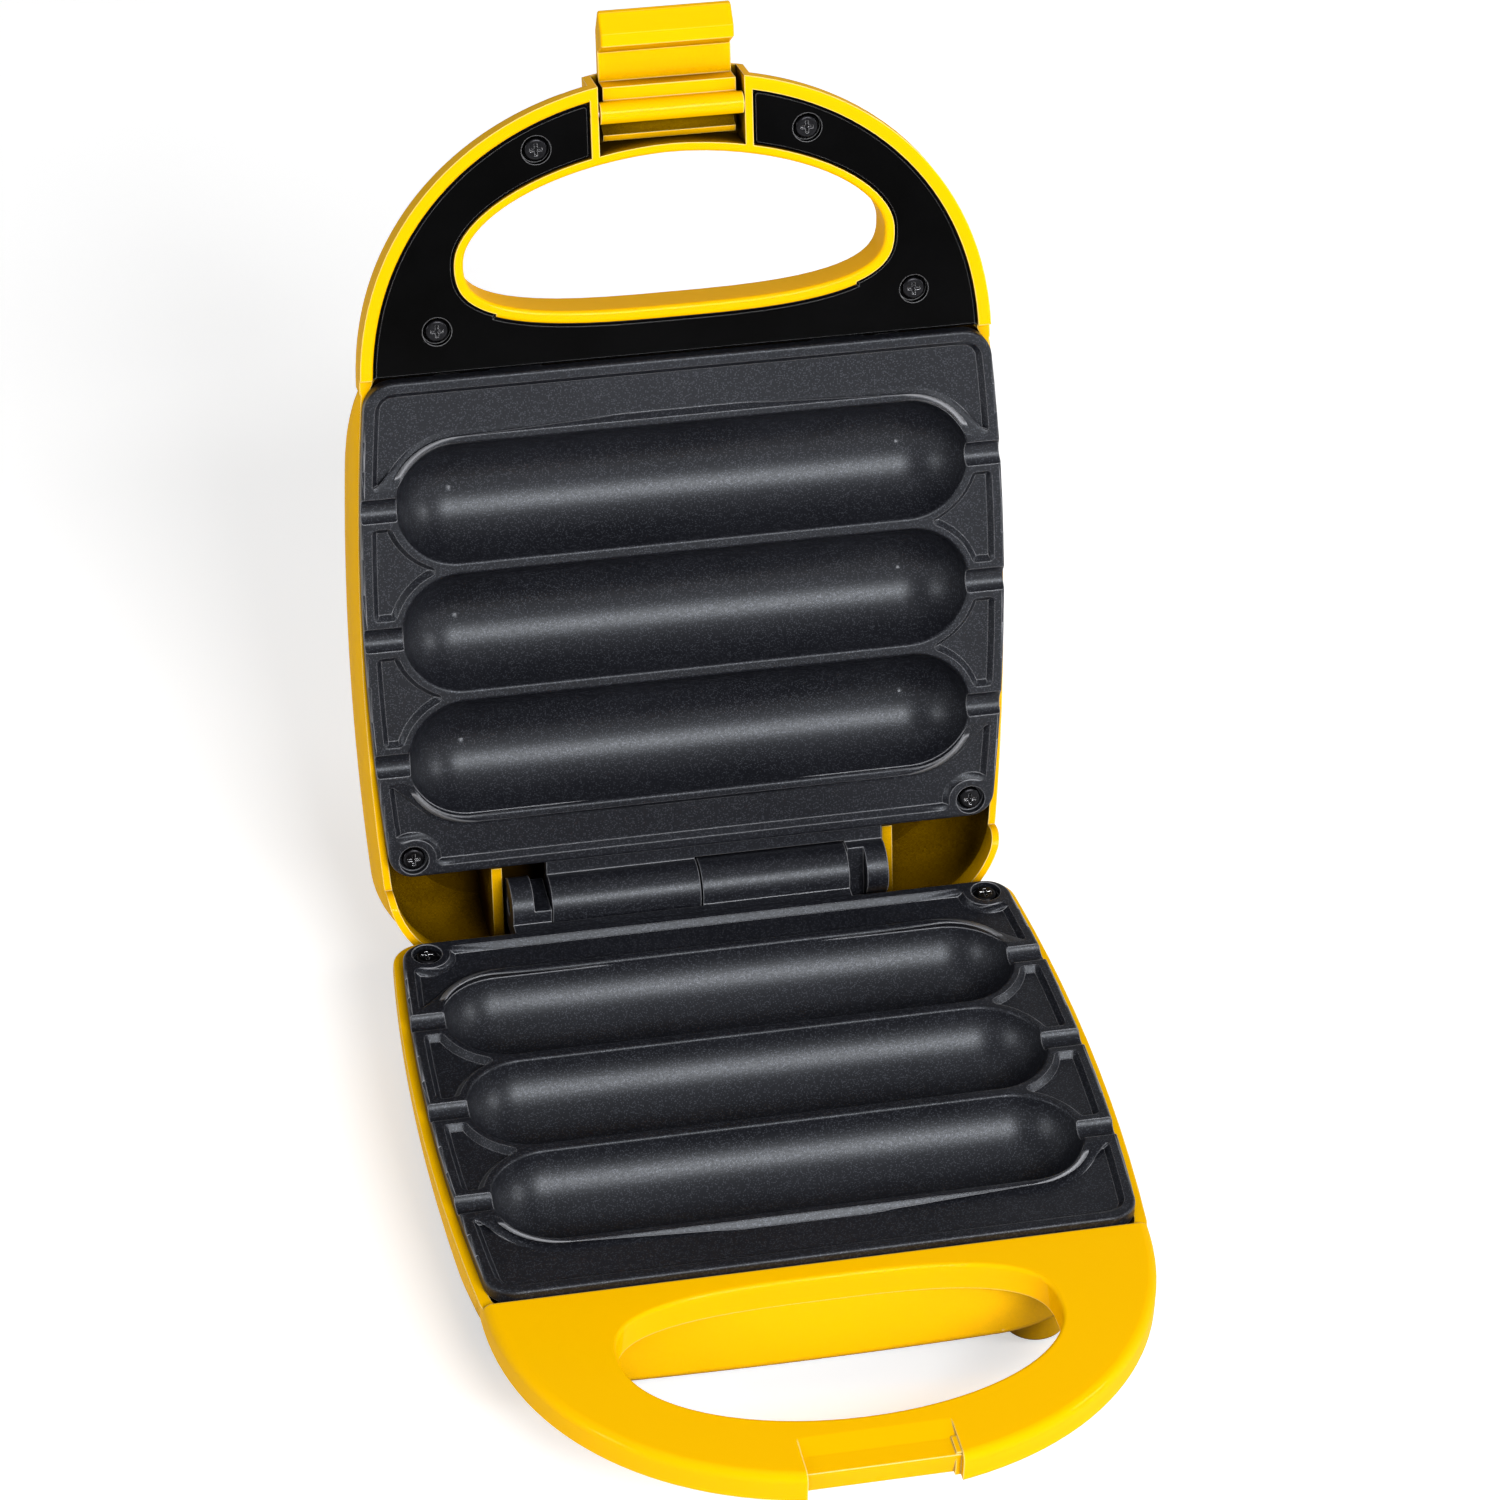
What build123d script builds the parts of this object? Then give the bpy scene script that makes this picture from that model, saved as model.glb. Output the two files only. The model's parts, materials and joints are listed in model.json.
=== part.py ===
from build123d import *
import math
import os

# Corn dog maker: a clam-shell cooker with three long cavities in a pair of cast plates.
# Everything is drawn closed, with the hinge axis on X, +Y to the rear, and the faces of the
# closed plates on z = 0. A reach is a distance forward of the hinge axis, so y is minus the
# reach. The lid is then swung open and the whole set is stood on the floor.
# Lengths are in millimetres and angles in degrees.

# Lid and latch travel
lid_open_angle = 103.5

# Cast plates
plate_half_width = 91.0
plate_side_bow = 4.1
plate_front = 158.9
plate_rear = 12.0
plate_front_corner = 8.5
plate_rear_corner = 7.0
plate_rim = 4.0
plate_edge_round = 0.9
plate_wall = 2.6

# Cavities
cavity_pitch = 37.96
cavity_set_back = 0.85
cavity_end_land = 10.5
cavity_half_width = 17.4
cavity_depth = 15.0
cavity_lip_round = 0.8

# Stick grooves from the cavity ends to the side edges
groove_half_width = 3.5
groove_depth = 2.3

# Shallow pockets in the plate face
pocket_depth = 1.7
pocket_rim = 2.9
pocket_cavity_land = 2.1
pocket_groove_land = 1.9
pocket_corner = 1.4
pocket_wall_slant = 42.0

# Plate screws at the rear corners
plate_screw_side_in = 10.4
plate_screw_rear_in = 5.3
plate_boss_radius = 6.4
screw_recess_radius = 4.2
screw_recess_depth = 2.4

# Hinge
barrel_radius = 8.0
barrel_inner_end = 0.3
barrel_outer_end = 43.0
knuckle_gap = 0.4
knuckle_length = 11.0
knuckle_notch_width = 4.8
knuckle_notch_drop = 2.8
hinge_web_top = 0.9
hinge_flange_start = 6.0
hinge_pocket_gap = 0.5
pin_radius = 2.5
running_clearance = 0.05

# Front lugs that hook each plate into its housing
lug_x = 45.0
lug_width = 14.0
lug_length = 2.5
lug_thickness = 2.0
lug_gap = 1.1

# Housing shells
wall = 2.2
floor_wall = 2.4
fit_gap = 0.4
flat_gap = 0.2
cut_over = 1.0
apron_ahead = 5.1
deck_drop = 2.3
rim_gap = 0.2
rim_ledge = 1.0
seam_corner = 8.0

# Lower housing
base_rear_reach = 7.4
base_depth = 31.5
base_rim_out = 2.6
base_bulge_out = 2.4
base_bulge_depth = 10.5
base_foot_in = 3.4
base_bulge_corner = 28.0
base_front_corner = 39.0
base_rear_corner = 9.0
base_bulge_bow = 0.8
base_bottom_bow = 2.7
base_bottom_round = 2.6
skirt_depth = 10.5
skirt_edge_round = 2.4

# Upper housing
lid_depth = 34.0
lid_rim_out = 0.5
lid_bulge_out = 2.4
lid_bulge_depth = 17.0
lid_top_in = 7.0
lid_bulge_corner = 28.0
lid_front_corner = 38.0
lid_rear_corner = 26.0
lid_rim_rear_corner = 29.0
lid_rear_flare = 3.2
lid_bulge_front_in = 3.0
lid_front_slope = 30.0
lid_rear_bulge_in = 1.5
lid_rear_slope = 6.0
lid_top_round = 5.0
hood_reach = 18.0
hood_stop_gap = 0.25
hood_cheek_thickness = 3.0
hood_cheek_gap = 2.4
hood_cheek_front = 10.0
hood_cheek_drop = 0.8
hood_front_reach = 6.9
hood_corner = 5.0
upper_handle_top = 15.6
upper_handle_tip = 9.6
upper_handle_round = 4.5

# Handle outline, a rounded D about a centre line across the machine
handle_root_in = 3.9
lower_handle_side_in = 1.7
upper_handle_side_in = 2.9
handle_reach = 82.8
handle_root_length = 5.0
handle_fullness_share = 2.13

# Hand holes
hole_half_width = 58.3
lower_hole_ahead = 31.0
lower_hole_front = 31.0
lower_hole_rear = 21.0
upper_hole_ahead = 35.0
upper_hole_front = 26.3
upper_hole_rear = 16.8
lower_hole_front_share = 2.0
upper_hole_front_share = 1.85
hole_rear_share = 3.0
hole_edge_round = 1.0
hole_lip = 2.6

# Handle cover and its screws
cover_rim = 3.6
cover_plate_gap = 0.4
cover_set_in = 0.6
cover_thickness = 2.0
cover_edge_bevel = 0.7
cover_corner = 1.4
cover_gap = 0.25
cover_wide_lip = 3.5
cover_wide_lip_in = 8.3
cover_front_screw_x = 37.2
cover_front_screw_in = 17.8
cover_rear_screw_in = 21.8
cover_rear_screw_ahead = 16.5
cover_cup_radius = 5.0
cover_cup_depth = 3.4
cover_recess_radius = 4.0
cover_recess_depth = 2.2
cover_post_radius = 3.2
cover_ledge = 1.2

# Latch
latch_pivot_in = 9.4
latch_pivot_height = 3.8
latch_side_gap = 1.8
latch_barrel_radius = 3.0
latch_pin_radius = 1.1
latch_arm_end = 6.6
latch_arm_face = 1.3
latch_plate_face = 7.2
latch_plate_back = 9.4
latch_hook_root = 14.6
latch_hook_tip = 17.7
latch_hook_crease = 21.1
latch_grip_end = 26.1
latch_grip_face = 4.9
latch_grip_edge = 6.1
latch_shield_angle = 70.0
latch_shield_wall = 1.9
latch_end_round = 0.7
bay_half_width = 20.0
bay_wall = 2.2
bay_back_round = 1.5
notch_floor_drop = 3.3
notch_front_in = 3.5
notch_undercut = 1.6
notch_rear_in = 15.8
notch_ramp = 6.0
notch_rib_width = 1.3
notch_rib_gap = 0.2
notch_rib_front_in = 3.8
notch_rib_rear_in = 9.8
notch_rib_drop = 2.7

# Feet
foot_side_in = 28.8
foot_front_in = 13.0
foot_rear_in = 12.6
foot_radius = 8.7
foot_height = 9.0
foot_round = 1.0
pad_radius = 6.0
pad_thickness = 2.0
pad_proud = 0.6

# Heating elements
tube_radius = 3.3
tube_seat_gap = 0.3
tube_tail = 11.0
terminal_radius = 1.3
terminal_length = 8.0
insulator_radius = 2.4
insulator_length = 3.0

# Heat shields and what holds them
shield_gap = 0.4
shield_thickness = 0.8
shield_side_in = 6.5
shield_front_in = 17.9
shield_rear_in = 18.0
shield_corner = 6.0
shield_post_side_in = 18.5
shield_post_radius = 3.6
shield_post_front_in = 9.9
shield_post_rear_in = 8.5
shield_tab_radius = 6.0
cradle_x = 38.0
cradle_length = 12.0
cradle_width = 8.3
cradle_height = 5.0

# Screws
plate_screw_shank = 1.9
plate_screw_head = 3.3
plate_screw_head_height = 1.9
plate_screw_length = 16.0
cover_screw_length = 4.6
small_screw_shank = 1.4
small_screw_head = 2.7
small_screw_head_height = 1.5
small_screw_length = 7.0
cross_arm_length = 1.7
cross_arm_width = 0.8
cross_depth = 1.1
screw_boss_wall = 2.0
housing_post_radius = 4.0
control_screw_length = 2.6
block_screw_length = 6.0

# Electrical pieces
thermostat_radius = 8.2
thermostat_height = 7.0
thermostat_cap_radius = 6.6
thermostat_cap_height = 3.0
thermostat_tab_length = 7.0
thermostat_tab_width = 4.8
thermostat_tab_thickness = 0.8
thermostat_x = 12.0
thermostat_front_in = 8.5
thermostat_tab_offset = 3.6
thermostat_ear = 11.5
thermostat_ear_thickness = 1.2
thermostat_ear_width = 7.0
fuse_x = -24.0
fuse_rear_in = 9.0
fuse_screw_rear_in = 2.6
fuse_radius = 2.1
fuse_sleeve_wall = 0.7
fuse_sleeve_length = 26.0
fuse_bracket_wall = 0.8
fuse_bracket_width = 8.0
block_x = -34.0
block_rear_in = 10.6
block_length = 26.0
block_width = 12.0
block_height = 9.0
block_floor_gap = 9.5
block_wire_bore = 1.6
block_pitch = 6.0
cord_x = 0.0
cord_floor_gap = 7.3
cord_bore = 2.9
grommet_radius = 3.9
grommet_flange_radius = 4.7
grommet_flange = 1.8
grommet_inner_flange = 1.6
clamp_length = 24.0
clamp_width = 8.0
clamp_height = 5.0
clamp_rear_in = 11.6
clamp_screw_x = 9.0
clamp_cord_radius = 3.1

# Indicator lamps in the lid
lamp_x = 13.0
lamp_reach = 112.0
lens_radius = 5.0
lens_flange_radius = 6.2
lens_proud = 1.4
lens_flange = 1.2
lens_barrel = 5.0
lamp_radius = 2.8
lamp_length = 7.5
lamp_holder_length = 52.0
lamp_holder_width = 12.0
lamp_holder_thickness = 1.8
lamp_holder_drop = 9.0
lamp_post_radius = 2.6
lamp_post_x = 22.5

# Vents in the floor of the lower housing
vent_count = 7
vent_pitch = 9.0
vent_width = 3.0
vent_length = 46.0

outline_steps = 24
level_tolerance = 0.0001


# Sizes worked out from the ones above
plate_screw_x = plate_half_width - plate_screw_side_in
plate_screw_reach = plate_rear + plate_screw_rear_in
cavity_half_length = plate_half_width - cavity_end_land
apron_reach = plate_front + apron_ahead
handle_centre = plate_front - handle_root_in
handle_back = handle_centre - handle_root_length
lower_handle_half_width = plate_half_width - lower_handle_side_in
upper_handle_half_width = plate_half_width - upper_handle_side_in
lower_hole_centre = handle_centre + lower_hole_ahead
upper_hole_centre = handle_centre + upper_hole_ahead
cover_rear_reach = plate_front + cover_plate_gap
handle_tip = handle_centre + handle_reach
cover_front_screw_reach = handle_tip - cover_front_screw_in
cover_rear_screw_x = upper_handle_half_width - cover_rear_screw_in
cover_rear_screw_reach = handle_centre + cover_rear_screw_ahead
latch_pivot_reach = handle_tip - latch_pivot_in
latch_half_width = bay_half_width - latch_side_gap
notch_front_reach = handle_tip - notch_front_in
notch_rear_reach = handle_tip - notch_rear_in
notch_rib_front = handle_tip - notch_rib_front_in
notch_rib_rear = handle_tip - notch_rib_rear_in
foot_x = plate_half_width - foot_side_in
foot_reach = apron_reach - foot_front_in
foot_rear_reach = base_rear_reach + foot_rear_in
foot_bottom = base_depth + foot_height
shield_half_width = cavity_half_length - shield_side_in
shield_front = plate_front - shield_front_in
shield_rear = plate_rear + shield_rear_in
shield_post_x = cavity_half_length - shield_post_side_in
shield_post_front = plate_front - shield_post_front_in
shield_post_rear = plate_rear + shield_post_rear_in
thermostat_reach = plate_front - thermostat_front_in
fuse_reach = plate_rear + fuse_rear_in
fuse_screw_reach = plate_rear + fuse_screw_rear_in
block_reach = base_rear_reach + block_rear_in
block_base = base_depth - block_floor_gap
cord_height = base_depth - cord_floor_gap
clamp_reach = base_rear_reach + clamp_rear_in
knuckle_inner_end = barrel_outer_end + knuckle_gap
knuckle_outer_end = knuckle_inner_end + knuckle_length
hood_cheek_x = knuckle_outer_end + hood_cheek_gap
cover_wide_lip_x = hole_half_width - cover_wide_lip_in
lug_drop = plate_rim + lug_gap
rim_level = plate_rim + rim_gap
cavity_radius = (cavity_half_width**2 + cavity_depth**2) / (2 * cavity_depth)
cavity_axis = cavity_radius - cavity_depth
cavity_straight = cavity_half_length - cavity_half_width
bulge_radius = cavity_radius + plate_wall
bulge_bottom = bulge_radius - cavity_axis
groove_radius = (groove_half_width**2 + groove_depth**2) / (2 * groove_depth)
groove_axis = groove_radius - groove_depth
shield_level = bulge_bottom + shield_gap
tube_offset = bulge_radius + tube_radius + tube_seat_gap
tube_level = math.sqrt(tube_offset**2 - (cavity_pitch / 2) ** 2) - cavity_axis
open_cos = math.cos(math.radians(lid_open_angle))
open_sin = math.sin(math.radians(lid_open_angle))
hood_drop = (base_rear_reach - hood_stop_gap + hood_reach * open_cos) / open_sin
deck_edge = plate_front + fit_gap
cover_face = deck_drop + cover_set_in
cover_seat = cover_face + cover_thickness
upper_ceiling = upper_handle_top - wall
cover_screw_tip = cover_face + cover_recess_depth + cover_screw_length
plate_middle = (plate_front + plate_rear) / 2
plate_half = (plate_front - plate_rear) / 2
cavity_middle = plate_middle - cavity_set_back
base_floor = base_depth - floor_wall
lid_ceiling = lid_depth - floor_wall
cavity_reaches = [cavity_middle + cavity_pitch * n for n in (-1, 0, 1)]
far = 2 * (plate_front + handle_reach)


def place(x, reach, z):
    return Pos(x, -reach, z)


def block(x_low, x_high, reach_low, reach_high, z_low, z_high):
    # A box between named limits
    size = Box(x_high - x_low, reach_high - reach_low, z_high - z_low)
    return place((x_low + x_high) / 2, (reach_low + reach_high) / 2, (z_low + z_high) / 2) * size


def post(x, reach, z_low, z_high, radius):
    # An upright cylinder between two levels
    return place(x, reach, (z_low + z_high) / 2) * Cylinder(radius, z_high - z_low)


def rod(x_low, x_high, reach, z, radius):
    # A cylinder along X between two ends
    return place((x_low + x_high) / 2, reach, z) * Rot(0, 90, 0) * Cylinder(radius, x_high - x_low)


def slab(sketch, z_low, z_high):
    return extrude(Pos(0, 0, z_low) * sketch, z_high - z_low, dir=(0, 0, 1))


def turned_over(shape):
    # The upper half of a clam shell is drawn like a lower one and then turned over
    return shape.rotate(Axis.Y, 180)


def edges_at(shape, z, low_reach=-far, high_reach=far):
    # Edges that lie flat at one level, between two reaches
    def wanted(edge):
        box = edge.bounding_box()
        level = abs(box.min.Z - z) < level_tolerance and abs(box.max.Z - z) < level_tolerance
        return level and -high_reach < box.min.Y and box.max.Y < -low_reach

    return shape.edges().filter_by(wanted)


def side_at(reach):
    # Half the plate's width at one reach, on its slightly bowed side
    return plate_half_width - plate_side_bow * ((reach - plate_middle) / plate_half) ** 2


def bowed_outline(out, front, rear, front_corner, rear_corner, nose_bow=0, flare=0):
    # A rectangle with bowed sides that lie a little outside or inside the plate's
    nose = side_at(front) + out
    tail = side_at(rear) + out + flare
    widest = plate_half_width + out
    right = ThreePointArc((nose, -front), (widest, -plate_middle), (tail, -rear))
    left = ThreePointArc((-tail, -rear), (-widest, -plate_middle), (-nose, -front))
    back = Line((tail, -rear), (-tail, -rear))
    ahead = Line((-nose, -front), (nose, -front))
    if nose_bow:
        ahead = ThreePointArc((-nose, -front), (0, -front - nose_bow), (nose, -front))
    face = make_face([right, back, left, ahead])
    face = fillet(face.vertices().filter_by(lambda point: point.Y < -plate_middle), front_corner)
    behind = [point for point in face.vertices() if abs(point.Y + rear) < level_tolerance]
    return fillet(behind, rear_corner)


def handle_outline(half_width, inset):
    # A D whose bow is a rounded ellipse and whose back is straight
    half = half_width - inset
    reach = handle_reach - inset
    power = 2 / handle_fullness_share
    points = [(half, -handle_centre)]
    for step in range(1, outline_steps):
        turn = math.pi * step / outline_steps
        wide = math.copysign(abs(math.cos(turn)) ** power, math.cos(turn))
        points.append((half * wide, -handle_centre - reach * abs(math.sin(turn)) ** power))
    points.append((-half, -handle_centre))
    return make_face([Spline(points), Line(points[-1], points[0])])


def handle_area(half_width, inset):
    # The same D carried straight back under the housing, for what is cut out of it
    middle = (handle_centre + handle_back) / 2
    back = Rectangle(2 * (half_width - inset), handle_centre - handle_back)
    return handle_outline(half_width, inset) + Pos(0, -middle) * back


def hole_outline(grow, centre, front, rear, front_share):
    # An oval hand hole, fuller along its rear edge than along its front
    points = []
    for step in range(2 * outline_steps):
        turn = math.pi * step / outline_steps
        ahead = step < outline_steps
        power = 2 / (front_share if ahead else hole_rear_share)
        depth = (front if ahead else rear) + grow
        wide = math.copysign(abs(math.cos(turn)) ** power, math.cos(turn))
        along = math.copysign(abs(math.sin(turn)) ** power, math.sin(turn))
        points.append(((hole_half_width + grow) * wide, -centre - depth * along))
    return make_face([Spline(points, periodic=True)])


def capsule(radius, reach):
    # A round-ended bar along X, centred over one cavity
    ends = Sphere(radius)
    bar = rod(-cavity_straight, cavity_straight, reach, cavity_axis, radius)
    bar += place(-cavity_straight, reach, cavity_axis) * ends
    return bar + place(cavity_straight, reach, cavity_axis) * ends


def cavity_slot(grow, reach):
    half = cavity_half_width + grow
    return Pos(0, -reach) * SlotCenterToCenter(2 * cavity_straight, 2 * half)


def pocket_areas():
    # What is left of the plate face around the cavities, the grooves and the screw bosses
    area = bowed_outline(
        -pocket_rim,
        plate_front - pocket_rim,
        plate_rear + pocket_rim,
        plate_front_corner - pocket_rim,
        plate_rear_corner - pocket_rim,
    )
    for reach in cavity_reaches:
        area -= cavity_slot(pocket_cavity_land, reach)
        groove = groove_half_width + pocket_groove_land
        area -= Pos(0, -reach) * Rectangle(far, 2 * groove)
    for side in (-1, 1):
        area -= Pos(side * plate_screw_x, -plate_screw_reach) * Circle(plate_boss_radius)
    kept = [face for face in area.faces() if face.area > plate_boss_radius**2]
    rounded = []
    for face in kept:
        inner = offset(Sketch() + face, -pocket_corner, kind=Kind.INTERSECTION)
        rounded.append(offset(inner, pocket_corner, kind=Kind.ARC))
    return rounded


def cast_plate():
    # One casting; the upper plate is the same casting turned over
    outline = bowed_outline(0, plate_front, plate_rear, plate_front_corner, plate_rear_corner)
    plate = slab(outline, -plate_rim, 0)
    plate = fillet(edges_at(plate, 0), plate_edge_round)
    below = block(-far, far, -far, far, -far, 0)
    for reach in cavity_reaches:
        plate += capsule(bulge_radius, reach) & below
    for reach in cavity_reaches:
        plate -= capsule(cavity_radius, reach)
    rearmost = cavity_reaches[0] - cavity_half_width - fit_gap
    foremost = cavity_reaches[-1] + cavity_half_width + fit_gap
    plate = fillet(edges_at(plate, 0, rearmost, foremost), cavity_lip_round)
    for reach in cavity_reaches:
        for side in (-1, 1):
            start = side * (cavity_half_length - cavity_lip_round)
            ends = sorted([start, side * far])
            plate -= rod(ends[0], ends[1], reach, groove_axis, groove_radius)
    for area in pocket_areas():
        plate -= extrude(area, pocket_depth, dir=(0, 0, -1), taper=pocket_wall_slant)
    for side in (-1, 1):
        x = side * plate_screw_x
        plate -= post(x, plate_screw_reach, -screw_recess_depth, cut_over, screw_recess_radius)
        bore = plate_screw_shank + flat_gap
        plate -= post(x, plate_screw_reach, -plate_rim - cut_over, cut_over, bore)
        low = side * lug_x - lug_width / 2
        start = plate_front - plate_edge_round
        plate += block(low, low + lug_width, start, plate_front + lug_length,
                       -lug_drop - lug_thickness, -lug_drop)
        plate += block(low, low + lug_width, start - lug_thickness, plate_front,
                       -lug_drop - lug_thickness, -plate_rim)
        for reach in (shield_post_front, shield_post_rear):
            x = side * shield_post_x
            plate += post(x, reach, -shield_level, -plate_rim, shield_post_radius)
            bore = small_screw_shank + running_clearance
            top = -shield_level + small_screw_length
            plate -= post(x, reach, -shield_level - cut_over, top, bore)
    return plate + hinge_halves() - rod(-far, far, 0, 0, pin_radius + running_clearance)


def hinge_halves():
    # A long barrel and a short notched knuckle, each on a web from the plate's rear edge,
    # and a flange with a hollow for the other plate's barrel
    web_end = plate_rear + plate_edge_round
    spans = [(barrel_inner_end, barrel_outer_end), (-knuckle_outer_end, -knuckle_inner_end)]
    joined = block(-knuckle_outer_end, barrel_outer_end, hinge_flange_start, web_end,
                   -plate_rim, -hinge_web_top)
    joined -= rod(-far, far, 0, 0, barrel_radius + hinge_pocket_gap)
    for low, high in spans:
        joined += rod(low, high, 0, 0, barrel_radius)
        joined += block(low, high, 0, web_end, -plate_rim, -hinge_web_top)
    notch = block(-knuckle_inner_end - knuckle_notch_width, -knuckle_inner_end + cut_over,
                  -barrel_radius - cut_over, barrel_radius + cut_over,
                  knuckle_notch_drop, barrel_radius + cut_over)
    return joined - notch


def bulged_tub(levels, outs, fronts, rears, front_corners, rear_corners, bows, flare):
    # A round-cornered tub through three outlines at three levels
    sections = []
    rows = zip(levels, outs, fronts, rears, front_corners, rear_corners, bows)
    for level, *row, bow in rows:
        sections.append(Pos(0, 0, level) * bowed_outline(*row, nose_bow=bow, flare=flare))
    return loft(sections)


def lower_tub(inset, top_ledge, bottom):
    # The lower housing's outer shape, or the hollow inside it
    front = apron_reach - inset
    rear = base_rear_reach + inset
    corners = [seam_corner, base_bulge_corner, base_front_corner]
    rear_corners = [base_rear_corner] * 3
    bows = [fit_gap, base_bulge_bow, base_bottom_bow]
    outs = [base_rim_out - inset - top_ledge, base_bulge_out - inset, -base_foot_in - inset]
    levels = [-rim_level, -base_bulge_depth, -bottom]
    return bulged_tub(levels, outs, [front] * 3, [rear] * 3, corners, rear_corners, bows, 0)


def upper_tub(inset, top):
    # The upper housing's outer shape, or the hollow inside it
    fronts = [
        apron_reach - inset,
        apron_reach - lid_bulge_front_in - inset,
        apron_reach - lid_front_slope - inset,
    ]
    rears = [rear - hood_reach + inset for rear in (0, lid_rear_bulge_in, lid_rear_slope)]
    outs = [lid_rim_out - inset, lid_bulge_out - inset, -lid_top_in - inset]
    corners = [seam_corner, lid_bulge_corner, lid_front_corner]
    rear_corners = [lid_rim_rear_corner - inset, lid_rear_corner - inset, lid_rear_corner - inset]
    bows = [0] * 3
    levels = [rim_level, lid_bulge_depth, top]
    return bulged_tub(
        levels, outs, fronts, rears, corners, rear_corners, bows, lid_rear_flare
    )


def lower_hole(grow):
    return hole_outline(
        grow, lower_hole_centre, lower_hole_front, lower_hole_rear, lower_hole_front_share
    )


def upper_hole(grow):
    return hole_outline(
        grow, upper_hole_centre, upper_hole_front, upper_hole_rear, upper_hole_front_share
    )


def across(x_half, corners):
    # A profile of reach and height pairs, drawn out along X
    face = make_face(Polyline([(-reach, z) for reach, z in corners], close=True))
    return extrude(Plane.YZ.offset(-x_half) * face, 2 * x_half, dir=(1, 0, 0))


def notch_profile(gap):
    return [
        (notch_rear_reach, -deck_drop + cut_over),
        (notch_rear_reach, -deck_drop),
        (notch_rear_reach + notch_ramp, -notch_floor_drop),
        (notch_front_reach, -notch_floor_drop),
        (notch_front_reach - notch_undercut, -skirt_depth),
        (notch_front_reach - notch_undercut, -skirt_depth - gap),
        (far, -skirt_depth - gap),
        (far, -deck_drop + cut_over),
    ]


def lower_handle():
    # The lower D handle: a flat deck with a rounded edge over a hollow skirt
    handle = slab(handle_outline(lower_handle_half_width, 0), -skirt_depth, -deck_drop)
    rim = edges_at(handle, -deck_drop, handle_back)
    rim = [edge for edge in rim if edge.bounding_box().size.Y > fit_gap]
    handle = fillet(rim, skirt_edge_round)
    hollow = handle_area(lower_handle_half_width, wall)
    tub_outline = bowed_outline(
        base_bulge_out, apron_reach, base_rear_reach, seam_corner, base_rear_corner
    )
    hollow -= tub_outline
    hollow -= lower_hole(hole_lip)
    solid_front = lower_hole_centre + lower_hole_front
    hollow -= Pos(0, -(solid_front + far) / 2) * Rectangle(
        2 * (bay_half_width + bay_wall), far - solid_front
    )
    kept = [face for face in hollow.faces() if face.area > foot_radius**2]
    for face in kept:
        handle -= slab(face, -skirt_depth - cut_over, -deck_drop - wall)
    handle -= across(bay_half_width, notch_profile(cut_over))
    rib_end = bay_half_width - notch_rib_gap
    return handle + block(rib_end - notch_rib_width, bay_half_width, notch_rib_rear,
                          notch_rib_front, -skirt_depth, -notch_rib_drop)


def cut_hand_hole(body, outline, low, high, edge_levels):
    # A hole right through a handle, with its edges rounded
    body -= slab(outline, low - cut_over, high + cut_over)
    for level in edge_levels:
        rim = []
        for edge in edges_at(body, level, handle_back):
            box = edge.bounding_box()
            if box.size.X > hole_half_width and box.max.X < hole_half_width + fit_gap:
                rim.append(edge)
        body = fillet(rim, hole_edge_round)
    return body


def foot_places():
    return [(side * foot_x, reach) for side in (-1, 1) for reach in (foot_reach, foot_rear_reach)]


def add_feet(body):
    for x, reach in foot_places():
        foot = post(x, reach, -foot_bottom, -base_floor - floor_wall / 2, foot_radius)
        foot = fillet(edges_at(foot, -foot_bottom), foot_round)
        recess_top = -foot_bottom + pad_thickness - pad_proud
        foot -= post(x, reach, -foot_bottom - cut_over, recess_top, pad_radius)
        body += foot
    return body


def posted_screw_holes(body, places, low, high, radius, bore):
    # Round posts, each with a blind hole for a screw that comes from above
    for x, reach in places:
        body += post(x, reach, low, high, radius)
    for x, reach in places:
        body -= post(x, reach, low + screw_boss_wall, high + cut_over, bore)
    return body


def plate_screw_places():
    return [(side * plate_screw_x, plate_screw_reach) for side in (-1, 1)]


def block_screw_places():
    return [(block_x + side * (block_length - block_width / 2) / 2, block_reach) for side in (-1, 1)]


def clamp_screw_places():
    return [(cord_x + side * clamp_screw_x, clamp_reach) for side in (-1, 1)]


def make_lower_housing():
    body = lower_tub(0, 0, base_depth)
    body = fillet(edges_at(body, -base_depth), base_bottom_round)
    body += lower_handle()
    body -= block(-far, far, -far, deck_edge, -rim_level, 0)
    body -= lower_tub(wall, rim_ledge, base_floor)
    body = cut_hand_hole(body, lower_hole(0), -skirt_depth, -deck_drop, [-deck_drop])
    body = add_feet(body)
    bore = plate_screw_shank + running_clearance
    small_bore = small_screw_shank + running_clearance
    places = plate_screw_places()
    body = posted_screw_holes(body, places, -base_floor, -rim_level, housing_post_radius, bore)
    places = block_screw_places()
    body = posted_screw_holes(body, places, -base_floor, -block_base, lamp_post_radius, small_bore)
    places = clamp_screw_places()
    body = posted_screw_holes(body, places, -base_floor, -cord_height, lamp_post_radius, small_bore)
    hole = Cylinder(grommet_radius + flat_gap, 2 * wall + 2 * cut_over)
    body -= place(cord_x, base_rear_reach + wall / 2, -cord_height) * Rot(90, 0, 0) * hole
    for row in range(vent_count):
        reach = plate_middle + (row - (vent_count - 1) / 2) * vent_pitch
        slot = Pos(0, -reach) * SlotOverall(vent_length, vent_width)
        body -= slab(slot, -base_depth - cut_over, -base_floor + cut_over)
    return body


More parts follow.
